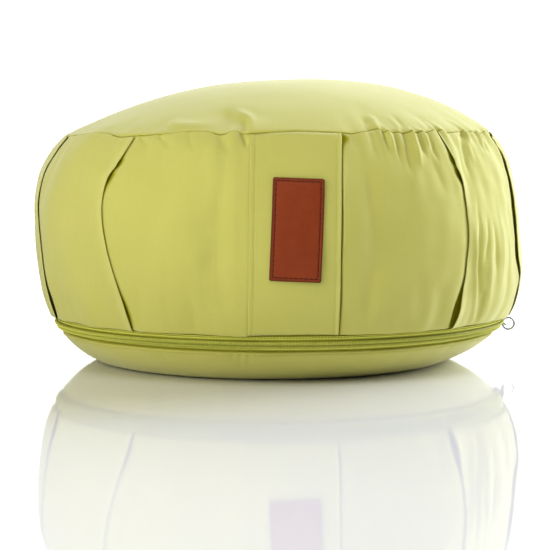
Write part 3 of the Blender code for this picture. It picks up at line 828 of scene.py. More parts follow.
@dataclass
class Settling:
    """Lets the filled cover settle as cloth, and notes how far it moved.

    The cloth is sewn down at its seams, its zip and its front strip, has a little to
    spare, and is pressed outwards by the filling.
    """

    finish: Material
    rows: int = 112
    columns: int = 300
    bare_rows: int = 22
    spare: float = 0.02
    pressure: float = 4.0
    frames: int = 20
    quality: int = 6
    grades: int = 10
    cap: float = 2.4 * MM
    seam_hold: float = 4.0 * MM
    zip_hold: float = 9.0 * MM
    foot_hold: float = 26.0 * MM
    strip_hold: float = 13.0 * DEGREE
    strip_ease: float = 4.0 * DEGREE
    crown_share: float = 0.35
    crown_run: float = 20.0 * MM
    inner_rows: float = 14.0

    def held(self, angle: Field, distance: Field) -> Field:
        """Where the cloth is sewn down or rests on the floor.

        Args:
            angle: Angles of the places.
            distance: Distances of the places.

        Returns:
            1 where it is held, 0 where it is free.
        """
        seam = ease(2.0 - np.abs(distance) / self.seam_hold)
        zipped = ease(2.0 - np.abs(distance - FORM.zip_line) / self.zip_hold)
        foot = ease((distance - FORM.foot + 2 * self.foot_hold) / self.foot_hold)
        strip = ease(1.0 - (np.abs(wrapped(angle)) - self.strip_hold) / self.strip_ease)
        return np.maximum.reduce([seam, zipped, foot, strip * (distance > 0)])

    def settle(self, piece: bpy.types.Object, held: Field) -> Field:
        """Runs the cloth from its start to its last frame.

        Args:
            piece: The cloth's object.
            held: How firmly each point is held.

        Returns:
            The points at the last frame.
        """
        group = piece.vertex_groups.new(name="sewn")
        for grade in range(1, self.grades + 1):
            numbers = np.flatnonzero(np.round(held * self.grades) == grade)
            group.add(numbers.tolist(), grade / self.grades, "REPLACE")
        cloth = piece.modifiers.new("settle", "CLOTH")
        cloth.settings.use_pressure = True
        cloth.settings.uniform_pressure_force = self.pressure
        cloth.settings.vertex_group_mass = group.name
        cloth.settings.shrink_min = -self.spare
        cloth.settings.effector_weights.gravity = 0.0
        cloth.settings.quality = self.quality
        cloth.point_cache.frame_start = 1
        cloth.point_cache.frame_end = self.frames
        for step in range(1, self.frames + 1):
            bpy.context.scene.frame_set(step)
        settled = piece.evaluated_get(bpy.context.evaluated_depsgraph_get()).to_mesh()
        points = np.zeros(len(settled.vertices) * 3)
        settled.vertices.foreach_get("co", points)
        bpy.context.scene.frame_set(1)
        return points.reshape(-1, 3)

    def run(self) -> None:
        """Settles the cloth and gives the relief how far it moved outwards."""
        distance = np.linspace(FORM.crown_start, FORM.foot, self.rows)[self.bare_rows :]
        angle = np.arange(self.columns) * (TURN / self.columns)
        angle, distance = np.meshgrid(angle, distance)
        start = FORM.place(angle, distance, -RELIEF.height(angle, distance))
        draft = Draft().loft(start)
        piece = draft.make("settling_cloth", self.finish)
        held = self.held(angle, distance)
        pins = np.concatenate([held.ravel(), np.ones(draft.count - held.size)])
        after = self.settle(piece, pins)[: held.size].reshape(start.shape)
        bpy.data.meshes.remove(piece.data)
        moved = ((after - start) * outwards(angle, distance)).sum(-1)
        moved -= moved.mean(axis=1, keepdims=True)
        for _ in range(2):
            moved = (np.roll(moved, 1, 1) + 2 * moved + np.roll(moved, -1, 1)) / 4
            moved[1:-1] = (moved[:-2] + 2 * moved[1:-1] + moved[2:]) / 4
        side = ease((distance + self.crown_run) / self.crown_run)
        calm = self.crown_share + (1 - self.crown_share) * side
        inner = ease(np.arange(self.rows - self.bare_rows) / self.inner_rows)[:, None]
        moved = np.clip(moved, -self.cap, self.cap) * (1 - held) * calm * inner
        most, mean = moved.max() / MM, np.abs(moved).mean() / MM
        LOG.info("settled: %.2f mm at most, %.2f mm on average", most, mean)
        RELIEF.settled = np.concatenate([np.zeros((self.bare_rows, self.columns)), moved])


# ---- shaders


class Signal:
    """A shader socket that adds Math nodes as it is reckoned with."""

    def __init__(self, shader: "Shader", socket: bpy.types.NodeSocket) -> None:
        """Wraps a socket of a shader."""
        self.shader, self.socket = shader, socket

    def math(self, operation: str, *values: Any, clamp: bool = False) -> "Signal":
        """The result of a Math node on this socket and other values."""
        settings = {"operation": operation, "use_clamp": clamp}
        return self.shader.read("ShaderNodeMath", settings, dict(enumerate((self, *values))))

    def __add__(self, other: Any) -> "Signal":
        """Sum."""
        return self.math("ADD", other)

    def __sub__(self, other: Any) -> "Signal":
        """Difference."""
        return self.math("SUBTRACT", other)

    def __rsub__(self, other: float) -> "Signal":
        """Difference from a number."""
        return self.math("MULTIPLY_ADD", -1.0, other)

    def __mul__(self, other: Any) -> "Signal":
        """Product."""
        return self.math("MULTIPLY", other)

    __radd__ = __add__
    __rmul__ = __mul__

    def sine(self) -> "Signal":
        """Sine."""
        return self.math("SINE")

    def size(self) -> "Signal":
        """Value without its sign."""
        return self.math("ABSOLUTE")

    def held(self) -> "Signal":
        """Value kept between 0 and 1."""
        return self.math("MULTIPLY_ADD", 1.0, 0.0, clamp=True)


class Shader:
    """A Principled material whose nodes are added one by one."""

    def __init__(self, name: str) -> None:
        """Makes the material.

        Args:
            name: The material's name.
        """
        self.material = bpy.data.materials.new(name)
        self.material.use_nodes = True
        self.tree = self.material.node_tree
        self.principled = self.tree.nodes["Principled BSDF"]

    def read(
        self, kind: str, settings: dict[str, Any], sockets: dict[Any, Any], output: Any = 0
    ) -> Signal:
        """Adds a node.

        Args:
            kind: The node's type.
            settings: Its settings.
            sockets: Values or links of its sockets, by name or number.
            output: The output to read, by name or number.

        Returns:
            The output.
        """
        made = self.tree.nodes.new(kind)
        for name, value in settings.items():
            setattr(made, name, value)
        for name, value in sockets.items():
            self.feed(made.inputs[name], value)
        return Signal(self, made.outputs[output])

    def feed(self, socket: bpy.types.NodeSocket, value: Any) -> None:
        """Gives a socket a link or a value.

        Args:
            socket: The socket.
            value: A signal, a number, a vector or a colour without its alpha.
        """
        if isinstance(value, Signal):
            self.tree.links.new(value.socket, socket)
        else:
            socket.default_value = (*value, 1.0) if socket.type == "RGBA" else value

    def set(self, **values: Any) -> None:
        """Gives the shader's own sockets links or values, by name with _ for a space."""
        for name, value in values.items():
            self.feed(self.principled.inputs[name.replace("_", " ")], value)

    def tone(self) -> Signal:
        """The tone that the mesh keeps."""
        return self.read("ShaderNodeAttribute", {"attribute_name": "tone"}, {}, "Fac")

    def cloth(self) -> Signal:
        """Place on the cloth laid flat, in metres."""
        return self.read("ShaderNodeAttribute", {"attribute_name": "cloth"}, {}, "Vector")

    def place(self) -> Signal:
        """Place on the object, in metres."""
        return self.read("ShaderNodeTexCoord", {}, {}, "Object")

    def scaled(self, vector: Signal, scale: Colour) -> Signal:
        """A vector multiplied part by part."""
        return self.read("ShaderNodeVectorMath", {"operation": "MULTIPLY"}, {0: vector, 1: scale})

    def threads(self, axis: str, pitch: float) -> Signal:
        """A wave across the threads that follow each other along one axis of the cloth."""
        cloth = self.scaled(self.cloth(), (math.pi / pitch, math.pi / pitch, 0.0))
        return self.read("ShaderNodeSeparateXYZ", {}, {0: cloth}, axis).sine()

    def noise(self, vector: Signal, scale: float, detail: float = 2.0) -> Signal:
        """Noise from 0 to 1 at a vector."""
        sockets = {"Vector": vector, "Scale": scale, "Detail": detail, "Roughness": 0.55}
        return self.read("ShaderNodeTexNoise", {}, sockets, "Fac")

    def cells(self, feature: str, vector: Signal, scale: float) -> Signal:
        """Distance from a cell's middle or its edge at a vector."""
        sockets = {"Vector": vector, "Scale": scale}
        return self.read("ShaderNodeTexVoronoi", {"feature": feature}, sockets, "Distance")

    def mixed(self, factor: Signal, first: Any, second: Any) -> Signal:
        """A colour between two."""
        sockets = {"Factor": factor, 6: first, 7: second}
        return self.read("ShaderNodeMix", {"data_type": "RGBA"}, sockets, 2)

    def blend(self, factor: Signal, matt: Colour) -> None:
        """Lets the shader give way to a matt colour without gloss or bloom.

        Args:
            factor: 0 for the shader itself, 1 for the matt colour.
            matt: The matt colour.
        """
        plain = self.read("ShaderNodeBsdfDiffuse", {}, {"Color": matt})
        sockets = {0: factor, 1: Signal(self, self.principled.outputs[0]), 2: plain}
        surface = self.tree.nodes["Material Output"].inputs["Surface"]
        self.feed(surface, self.read("ShaderNodeMixShader", {}, sockets))

    def bump(self, height: Signal, distance: float, strength: float) -> None:
        """Feeds a bump to the shader's normal."""
        sockets = {"Height": height, "Distance": distance, "Strength": strength}
        self.set(Normal=self.read("ShaderNodeBump", {}, sockets, "Normal"))


@dataclass(frozen=True)
class Finish:
    """A finish, which paints a shader of its own."""

    name: str

    def material(self) -> Material:
        """The finished material.

        Returns:
            The material, with its nodes.
        """
        shader = Shader(self.name)
        self.paint(shader)
        return shader.material


@dataclass(frozen=True)
class Cotton(Finish):
    """Plain-weave cotton, with slubs along both threads and a faint bloom."""

    name: str = "lime_cotton"
    light: Colour = (0.60, 0.578, 0.132)
    deep: Colour = (0.555, 0.53, 0.107)
    # A paler tint where fold edges stand proud, where the tone is positive.
    proud_edge: Colour = (0.68, 0.66, 0.20)
    # Painted shade: the darker colour put into folds and seams, where the tone is negative.
    shade: Colour = (0.37, 0.345, 0.008)
    bloom_tint: Colour = (1.0, 0.99, 0.82)
    bloom: float = 0.45
    pitch: float = 0.45 * MM
    slub_long: float = 75.0
    slub_thin: float = 1500.0
    slub_contrast: float = 1.3
    cloud: float = 22.0
    cloud_contrast: float = 1.1
    crossing: float = 3.0
    # How strongly the paler tint at proud fold edges shows, plus how much the slubs add to it.
    lighten: tuple[float, float] = (0.6, 0.8)
    roughness: float = 0.77
    uneven: float = 0.14
    gloss: float = 0.22
    bloom_roughness: float = 0.45
    relief: float = 0.14 * MM
    relief_shares: tuple[float, float] = (0.3, 0.6)
    strength: float = 0.3

    def paint(self, shader: Shader) -> None:
        """Paints the weave, its slubs, a paler tint at proud fold edges, and painted shade in its folds
        and seams.

        Args:
            shader: What is painted.
        """
        warp, weft = shader.threads("X", self.pitch), shader.threads("Y", self.pitch)
        over = (warp * weft * self.crossing + 0.5).held()
        weave = warp.size() * over + weft.size() * (1.0 - over)
        cloth = shader.cloth()
        down = shader.noise(shader.scaled(cloth, (self.slub_thin, self.slub_long, 0.0)), 1.0)
        along = shader.noise(shader.scaled(cloth, (self.slub_long, self.slub_thin, 0.0)), 1.0)
        slub = (down + along) * 0.5
        broad = shader.noise(shader.place(), self.cloud)
        mottle = (slub - 0.5) * self.slub_contrast + (broad - 0.5) * self.cloud_contrast
        mottle = (mottle + 0.5).held()
        tone = shader.tone()
        # The paler tint at proud fold edges, varied by the slubs.
        proud_share = (tone * (self.lighten[0] + slub * self.lighten[1])).held()
        base = shader.mixed(proud_share, shader.mixed(mottle, self.deep, self.light), self.proud_edge)
        # Painted shade: where the tone is negative, the colour goes towards the shade colour.
        sunk = (0.0 - tone).held()
        shader.set(
            Base_Color=shader.mixed(sunk, base, self.shade),
            Roughness=broad * self.uneven + self.roughness,
            Sheen_Weight=self.bloom,
            Sheen_Roughness=self.bloom_roughness,
            Sheen_Tint=self.bloom_tint,
            Specular_IOR_Level=self.gloss,
        )
        threads, slubs = self.relief_shares
        shader.bump(weave * threads + slub * slubs, self.relief, self.strength)
        # Painted shade: in folds and seams the cloth also gives way to the matt shade colour, without
        # gloss or bloom.
        shader.blend(sunk, self.shade)


@dataclass(frozen=True)
class Tape(Finish):
    """The zip's woven tape, ribbed along its length."""

    name: str = "zip_tape_weave"
    light: Colour = (0.80, 0.79, 0.13)
    deep: Colour = (0.62, 0.62, 0.075)
    # Painted shade, put beside the coil and along the tape's outer edge.
    painted_shade: Colour = (0.27, 0.275, 0.012)
    rib: float = 0.75 * MM
    pick: float = 0.5 * MM
    fibre: float = 900.0
    tone_shares: tuple[float, float] = (0.55, 0.4)
    roughness: float = 0.72
    uneven: float = 0.15
    gloss: float = 0.2
    relief: float = 0.2 * MM
    relief_shares: tuple[float, float] = (0.7, 0.3)
    strength: float = 0.6

    def paint(self, shader: Shader) -> None:
        """Paints the ribs, and painted shade beside the coil and along the tape's outer edge.

        Args:
            shader: What is painted.
        """
        ribs, picks = shader.threads("Y", self.rib).size(), shader.threads("X", self.pick).size()
        fibre = shader.noise(shader.cloth(), self.fibre)
        tone = (ribs * self.tone_shares[0] + fibre * self.tone_shares[1]).held()
        woven = shader.mixed(tone, self.deep, self.light)
        shader.set(
            # The tone mixes in the painted shade.
            Base_Color=shader.mixed(shader.tone(), woven, self.painted_shade),
            Roughness=fibre * self.uneven + self.roughness,
            Specular_IOR_Level=self.gloss,
        )
        height = ribs * self.relief_shares[0] + picks * self.relief_shares[1]
        shader.bump(height, self.relief, self.strength)


@dataclass(frozen=True)
class Nylon(Finish):
    """The coil's smooth nylon."""

    name: str = "coil_nylon"
    # light is the painted highlight on the teeth's humps, deep the painted shade in the gaps, at the
    # coil's sides and under it.
    light: Colour = (0.76, 0.76, 0.13)
    deep: Colour = (0.20, 0.205, 0.008)
    grain: float = 400.0
    mottle: float = 0.25
    roughness: float = 0.36
    uneven: float = 0.12
    gloss: float = 0.2
    relief: float = 0.05 * MM
    strength: float = 0.3

    def paint(self, shader: Shader) -> None:
        """Paints a highlight on the teeth's humps and shade in the gaps between them, by the tone the
        mesh keeps.

        Args:
            shader: What is painted.
        """
        cast = shader.noise(shader.place(), self.grain)
        tone = (shader.tone() + (cast - 0.5) * self.mottle).held()
        shader.set(
            Base_Color=shader.mixed(tone, self.deep, self.light),
            Roughness=cast * self.uneven + self.roughness,
            Specular_IOR_Level=self.gloss,
        )
        shader.bump(cast, self.relief, self.strength)


@dataclass(frozen=True)
class Leather(Finish):
    """Tan leather with a fine grain, with painted shade at its edges and in its pressed border."""

    name: str = "tan_leather"
    face: Colour = (0.31, 0.048, 0.006)
    mottle: Colour = (0.25, 0.036, 0.004)
    # Painted shade along the label's edge, in its pressed groove and on its back.
    edge: Colour = (0.085, 0.013, 0.002)
    patch: float = 90.0
    patch_from: float = 0.35
    patch_contrast: float = 1.5
    bend: float = 260.0
    pore: float = 1150.0
    wrinkle: float = 420.0
    wrinkle_contrast: float = 4.0
    rim_shade_blur: float = 0.3
    roughness: float = 0.44
    uneven: tuple[float, float] = (0.16, 0.1)
    gloss: float = 0.22
    relief: float = 0.12 * MM
    relief_shares: tuple[float, float] = (0.45, 0.55)
    strength: float = 0.45

    def paint(self, shader: Shader) -> None:
        """Paints the mottled face, painted shade at its edge and in its pressed border, and its grain.

        Args:
            shader: What is painted.
        """
        place = shader.place()
        patches = shader.noise(place, self.patch, detail=4.0)
        bent = shader.noise(place, self.bend, detail=3.0)
        pores = shader.cells("F1", place, self.pore)
        edges = shader.cells("DISTANCE_TO_EDGE", place, self.wrinkle)
        grain = (edges * self.wrinkle_contrast).held()
        patchy = ((patches - self.patch_from) * self.patch_contrast).held()
        skin = shader.mixed(patchy, self.mottle, self.face)
        # Painted shade at the edge and in the groove, from the tone that the mesh keeps, its border
        # blurred by noise.
        rim = (shader.tone() + (bent - 0.5) * self.rim_shade_blur).held()
        shader.set(
            Base_Color=shader.mixed(rim, skin, self.edge),
            Roughness=patches * self.uneven[0] + bent * self.uneven[1] + self.roughness,
            Specular_IOR_Level=self.gloss,
        )
        height = pores * self.relief_shares[0] + grain * self.relief_shares[1]
        shader.bump(height, self.relief, self.strength)


@dataclass(frozen=True)
class Thread(Finish):
    """Twisted sewing thread of one colour."""

    light: Colour
    deep: Colour
    twist: float = math.pi / 9000
    roughness: float = 0.65
    uneven: float = 0.2
    gloss: float = 0.15
    relief: float = 0.06 * MM
    strength: float = 0.6

    def paint(self, shader: Shader) -> None:
        """Paints the twisted strands.

        Args:
            shader: What is painted.
        """
        strand = shader.threads("X", self.twist).size()
        shader.set(
            Base_Color=shader.mixed(strand, self.deep, self.light),
            Roughness=strand * self.uneven + self.roughness,
            Specular_IOR_Level=self.gloss,
        )
        shader.bump(strand, self.relief, self.strength)


@dataclass(frozen=True)
class Nickel(Finish):
    """Nickel-plated zinc, lightly rubbed."""

    name: str = "nickel_plate"
    bright: Colour = (0.44, 0.44, 0.39)
    dull: Colour = (0.22, 0.22, 0.185)
    rubbing: float = 700.0
    roughness: float = 0.2
    uneven: float = 0.25
    relief: float = 0.04 * MM
    strength: float = 0.25

    def paint(self, shader: Shader) -> None:
        """Paints the plating and where it is rubbed.

        Args:
            shader: What is painted.
        """
        lighten = shader.noise(shader.place(), self.rubbing, detail=4.0)
        base = shader.mixed(lighten, self.dull, self.bright)
        rough = lighten * self.uneven + self.roughness
        shader.set(Base_Color=base, Metallic=1.0, Roughness=rough)
        shader.bump(lighten, self.relief, self.strength)


@dataclass(frozen=True)
class GlossyFloor(Finish):
    """The studio's pale glossy floor, which glows far from the cushion."""

    name: str = "white_floor"
    low: Colour = (0.93, 0.925, 0.895)
    high: Colour = (0.95, 0.945, 0.915)
    glow_from: float = 0.75
    glow_run: float = 0.8
    cloud: float = 3.0
    roughness: float = 0.035
    uneven: float = 0.03

    def paint(self, shader: Shader) -> None:
        """Paints the floor and its glow, by the distance from its middle.

        Args:
            shader: What is painted.
        """
        place = shader.place()
        cloud = shader.noise(place, self.cloud)
        away = shader.read("ShaderNodeVectorMath", {"operation": "LENGTH"}, {0: place}, "Value")
        glow = ((away - self.glow_from) * (1 / self.glow_run)).held()
        shader.set(
            Base_Color=shader.mixed(cloud, self.low, self.high),
            Roughness=cloud * self.uneven + self.roughness,
            Specular_IOR_Level=0.5,
            Emission_Color=shader.mixed(glow, (0.0, 0.0, 0.0), (1.0, 1.0, 1.0)),
            Emission_Strength=1.0,
        )


@dataclass(frozen=True)
class LitSheet(Finish):
    """The studio's backdrop, lit evenly."""

    name: str = "lit_backdrop"
    glow: float = 1.8

    def paint(self, shader: Shader) -> None:
        """Lights the sheet, which shows no light but its own."""
        shader.set(Base_Color=(0.0, 0.0, 0.0), Specular_IOR_Level=0.0)
        shader.set(Emission_Color=(1.0, 1.0, 1.0), Emission_Strength=self.glow)


# ---- the cover


class Row(NamedTuple):
    """One ring of the cover's mesh.

    pattern is the distance at which its folds are read and folded how far they stand
    open. The ring lies at offsets from the distance start: zipped is its offset and its
    sink where the zip lies, and seamed those where the back has a plain seam.
    """

    pattern: float
    folded: float
    start: float
    zipped: tuple[float, float]
    seamed: tuple[float, float]


# Rounded edges beside the zip's channel, from the outside in: in millimetres, the distance
# past the channel's edge, that past the back's seam, both sinks, and how far folds stand open
LIPS: Rows = (
    (1.15, 3.4, 0.06, 0.0, 1.0), (0.62, 2.2, 0.28, 0.15, 1.0), (0.28, 1.3, 0.66, 0.6, 0.9),
    (0.08, 0.7, 1.2, 1.3, 0.6), (0.0, 0.3, 1.75, 1.9, 0.25),
    (-0.05, 0.12, SEWING.bed_depth / MM, 2.3, 0.0),
)


@dataclass
class CushionCover:
    """The filled cotton cover: crown panel, pleated side band and base panel."""

    finish: Material
    name: str = "cushion_cover"
    front_step: float = 1.0 * MM
    back_step: float = 4.2 * MM
    front_half: float = 84.0 * DEGREE
    band_step: float = 1.95 * MM
    base_step: float = 2.6 * MM
    crown_rows: int = 27
    crown_spread: float = 0.68
    near_seam: tuple[float, ...] = (0.2, 0.45, 0.8, 1.2, 1.7, 2.3, 3.0, 3.9)
    crown_end: float = -5.2 * MM
    band_starts: tuple[float, float] = (5.0 * MM, 6.2 * MM)
    band_end: float = 1.6 * MM
    band_margin: float = 8 * MM
    foot_shares: tuple[float, ...] = (0.93, 0.8, 0.62, 0.42, 0.2)
    fold_run: float = 2.6 * MM
    strip_half: float = 13.0 * DEGREE
    calm_sink: float = 2.0 * MM
    # fold_depth and fold_from also set the painted shade inside folds: where it starts and where it is
    # full.
    fold_depth: float = 1.2 * MM
    fold_from: float = 0.2 * MM
    # The paler tint where fold edges stand proud: its strength, and how far proud for the whole of it.
    proud_edge_share: float = 0.4
    proud_edge_rise: float = 0.7 * MM
    # Painted shade in the seams and on the zip channel's lips, by how far they sink.
    seam_shade: float = 0.6
    seam_sunk: float = 1.4 * MM
    seam_spread: float = 0.1 * MM
    rows: list[Row] = field(default_factory=list)

    def spans(self, pattern: float, folded: float) -> tuple[list, list]:
        """The features and the plain cloth between them, round a ring.

        Args:
            pattern: The distance at which the folds are read.
            folded: How far they stand open.

        Returns:
            Each feature's points, and where the plain cloth after it starts and ends.
        """
        groups = [feature.ring(pattern, folded) for feature in FEATURES]
        gaps = []
        for (angles, _), (following, _) in zip(groups, groups[1:] + groups[:1]):
            start, end = angles[-1], following[0]
            gaps.append((start, end if end > start else end + TURN))
        return groups, gaps

    def plan_columns(self) -> None:
        """Counts the columns of plain cloth after each feature."""
        self.plain = []
        for start, end in self.spans(SEWING.band_length / 2, 0.0)[1]:
            front = abs(wrapped((start + end) / 2)) < self.front_half
            step = self.front_step if front else self.back_step
            self.plain.append(max(2, math.ceil((end - start) * FORM.seam_radius / step)))

    def ring(self, pattern: float, folded: float) -> tuple[Field, Field]:
        """The columns of a ring.

        Args:
            pattern: The distance at which the folds are read.
            folded: How far they stand open.

        Returns:
            The angle and the depth of each.
        """
        angles, depths = [], []
        for (angle, depth), (start, end), count in zip(*self.spans(pattern, folded), self.plain):
            angles += [angle, start + (end - start) * np.arange(1, count + 1) / (count + 1)]
            depths += [depth, np.zeros(count)]
        return np.concatenate(angles), np.concatenate(depths)

    def seam_sink(self, distance: float) -> float:
        """Depth of the rounded edges that meet at the top seam.

        Args:
            distance: Distance from the seam.

        Returns:
            The depth there.
        """
        lip = SEWING.seam_lip
        away = min(abs(distance), lip)
        rounded = lip - math.sqrt(max(0.0, lip * lip - (lip - away) ** 2))
        return rounded + (SEWING.seam_depth - lip) * max(0.0, 1 - away / SEWING.seam_pinch)

    def plan_rows(self) -> None:
        """Lists the rings from the crown over the band to the zip."""
        near, length = np.array(self.near_seam) * MM, SEWING.band_length
        shares = np.linspace(0.0, 1.0, self.crown_rows)[1:] ** self.crown_spread
        crown = FORM.crown_start + shares * (self.crown_end - FORM.crown_start)
        count = round((length - self.band_margin) / self.band_step)
        first, second = self.band_starts
        band = np.concatenate([near, [first], np.linspace(second, length - self.band_end, count)])
        for distance in (*crown, *-near[::-1], 0.0, *band):
            pattern, lies = max(0.0, distance), (distance, self.seam_sink(distance))
            self.rows.append(Row(pattern, float(ease(pattern / self.fold_run)), 0.0, lies, lies))
        self.plan_zip_rows()

    def plan_zip_rows(self) -> None:
        """Lists the rings over the lips and the floor of the zip's channel, then the base."""
        edge, length, start = SEWING.bed_edge, SEWING.band_length, FORM.zip_line
        lies = [
            (folded, (-edge - past * MM, sink * MM), (-seam * MM, seam_sink * MM))
            for past, seam, sink, seam_sink, folded in LIPS
        ]
        for share in (-0.5, 0.0, 0.5):
            floor = (share * edge, SEWING.bed_depth)
            lies.append((0.0, floor, (share * self.seam_spread, SEWING.seam_depth)))
        for past, seam, sink, seam_sink, _ in reversed(LIPS):
            lies.append((0.0, (edge + past * MM, sink * MM), (seam * MM, seam_sink * MM)))
        first, behind = start + edge + LIPS[0][0] * MM, LIPS[0][1] * MM
        count = round((FORM.foot - first) / self.base_step)
        for share in np.linspace(0.0, 1.0, count)[1:]:
            offset = first + share * (FORM.foot - first) - start
            lies.append((0.0, (offset, 0.0), (behind + share * (FORM.foot - start - behind), 0.0)))
        self.rows += [Row(length, folded, start, zipped, seamed) for folded, zipped, seamed in lies]

    def loops(self) -> tuple[Field, Field, Field]:
        """The rings' places.

        Returns:
            Their points, cloth coordinates and tones.
        """
        points, cloth, tones = [], [], []
        for row in self.rows:
            angle, depth = self.ring(row.pattern, row.folded)
            share = SEWING.zip_share(angle)
            pairs = zip(row.seamed, row.zipped)
            offset, sink = (back + (front - back) * share for back, front in pairs)
            distance = row.start + offset
            free = np.clip(1 - sink / self.calm_sink, 0.0, 1.0)
            bed = np.clip(depth / self.fold_depth, 0.0, 1.0) * (np.abs(angle) < self.strip_half)
            raised = RELIEF.height(angle, distance) * free * (1 - bed)
            place = FORM.place(angle, RELIEF.seam_shift(angle, distance), depth + sink - raised)
            place[:, 2] = np.maximum(place[:, 2], 0.0)
            points.append(place)
            band = row.start == 0.0 and row.pattern > 0
            cloth.append(np.stack([angle * FORM.seam_radius, distance], -1) if band else place[:, :2])
            # Tone: a paler tint where fold edges stand proud, less the painted shade in folds, seams
            # and the zip channel's lips.
            proud_edge = self.proud_edge_share * ease(-depth / self.proud_edge_rise) * row.folded
            sunk = self.seam_shade * ease(sink / self.seam_sunk)
            tones.append(proud_edge - np.maximum(ease((depth - self.fold_from) / self.fold_depth), sunk))
        rim = points[-1]
        for share in self.foot_shares:
            points.append(rim * share + points[-1].mean(axis=0) * (1 - share))
            cloth.append(points[-1][:, :2])
            tones.append(np.zeros(len(rim)))
        return np.array(points), np.array(cloth), np.array(tones)

    def build(self) -> None:
        self.plan_columns()
        self.plan_rows()
        points, cloth, tones = self.loops()
        draft = Draft().loft(points, Ends.CAPPED, cloth, tones)
        piece = ride(draft.make(self.name, self.finish), "cotton", "cushion")


# ---- the front strip and label


@dataclass
class FrontStrip:
    """The strip sewn down the front: topstitched at its left, folded over at its right."""

    finish: Material
    name: str = "front_strip_cloth"
    columns: int = 34
    rows: int = 96
    near_edge: tuple[float, ...] = (0.3, 1.0, 1.7, 2.3, 2.7, 3.1, 3.5, 3.9, 4.6)
    top: float = 0.7 * MM
    hem: float = 1.0 * MM
    edge: float = 0.75 * MM
    stitch_inset: float = 3.1 * MM
    groove: float = 0.26 * MM
    groove_width: float = 0.55 * MM
    lap: float = 0.35 * MM
    lap_run: float = 6.0 * MM
    lap_thickness: float = 0.5 * MM
    thin_run: float = 3.5 * MM
    roll: float = 0.3 * MM
    roll_width: float = 0.9 * MM
    dent: float = 0.18 * MM
    dent_inset: float = 2.8 * MM
    dent_width: float = 0.8 * MM
    corner_lift: float = 1.0 * MM
    corner_place: float = 7.0 * MM
    corner_width: float = 6.0 * MM
    follow: float = 0.55
    top_tuck: float = 0.9 * MM
    top_run: float = 2.2 * MM
    foot_tuck: float = 0.7 * MM
    foot_run: float = 1.6 * MM
    under: float = 0.3 * MM
    weave_start: float = 2 * MM
    fold_tone: float = 0.5
    fold_from: float = 2.0 * MM
    fold_run: float = 1.6 * MM

    def angle(self, across: Field, distance: Field) -> Field:
        """Angle of a place on the strip, which leans a little.

        Args:
            across: How far right of its middle the place lies.
            distance: Distance of the place.

        Returns:
            The angle.
        """
        lean = smooth_rows(STRIP_LINE, 60)
        centre = np.interp(distance / MM, lean[:, 0], lean[:, 1]) * DEGREE
        return centre + across / FORM.radius_at(distance)

    def face(self, across: Field, distance: Field) -> Field:
        """Depth of the strip's face.

        Args:
            across: How far right of its middle each place lies.
            distance: Distance of each place.

        Returns:
            The depth of each place.
        """
        inset, outset = across + SEWING.strip_width / 2, SEWING.strip_width / 2 - across
        lapped = self.lap * (1 - ease(inset / self.lap_run))
        groove = self.groove * bell(inset, self.stitch_inset, self.groove_width)
        roll = self.roll * bell(outset, self.roll_width, self.roll_width)
        dent = self.dent * bell(outset, self.dent_inset, self.dent_width)
        down = (distance - self.corner_place) / self.corner_width
        corner = np.exp(-((outset / self.corner_place) ** 2) - down**2)
        return SEWING.strip_face(across) - lapped + groove - roll + dent - self.corner_lift * corner

    def section(self) -> Field:
        """The section round the strip's thickness.

        Returns:
            Places across the strip and under its face.
        """
        half, thick = SEWING.strip_width / 2, SEWING.strip_thickness
        middle = np.linspace(-half + self.edge, half - self.edge, self.columns)
        near = np.array(self.near_edge) * MM
        inner = np.unique(np.concatenate([middle, near - half + self.edge, half - self.edge - near]))
        turn = np.linspace(90, -90, 9)[1:-1] * DEGREE
        round_edge = half - self.edge + self.edge * np.cos(turn)
        right = np.stack([round_edge, 0.5 * thick * (1 - np.sin(turn))], -1)
        face = np.stack([inner, 0 * inner], -1)
        back = np.stack([inner[::-1], 0 * inner + thick], -1)
        return np.concatenate([face, right, back, right[::-1] * (-1, 1)])

    def build(self) -> None:
        half, thick = SEWING.strip_width / 2, SEWING.strip_thickness
        top, bottom = self.top, SEWING.band_length - self.hem
        section = self.section()
        across = np.broadcast_to(section[:, 0], (self.rows, len(section)))
        distance = np.broadcast_to(np.linspace(top, bottom, self.rows)[:, None], across.shape)
        share = section[:, 1] / thick
        lapped = ease((across + half) / self.thin_run)
        thin = self.lap_thickness + (thick - self.lap_thickness) * lapped
        angle = self.angle(across, distance)
        raised = RELIEF.height(angle, distance) * (1 - share) * self.follow
        tuck = self.top_tuck * (1 - ease((distance - top) / self.top_run))
        tuck = tuck + self.foot_tuck * (1 - ease((bottom - distance) / self.foot_run))
        depth = self.face(across, distance) + share * thin - raised + tuck
        depth = np.minimum(depth, thick + self.under)
        loops = FORM.place(angle, RELIEF.seam_shift(angle, distance), depth)
        cloth = np.stack([across + self.weave_start, distance], -1)
        # The same paler tint as at the cover's proud fold edges, along the strip's folded right edge.
        folded = ease((across - half + self.fold_from) / self.fold_run)
        tone = self.fold_tone * folded * (1 - share)
        draft = Draft().loft(loops, Ends.CAPPED, cloth, tone)
        piece = ride(draft.make(self.name, self.finish), "cotton", "front_strip")
        length = bottom - top


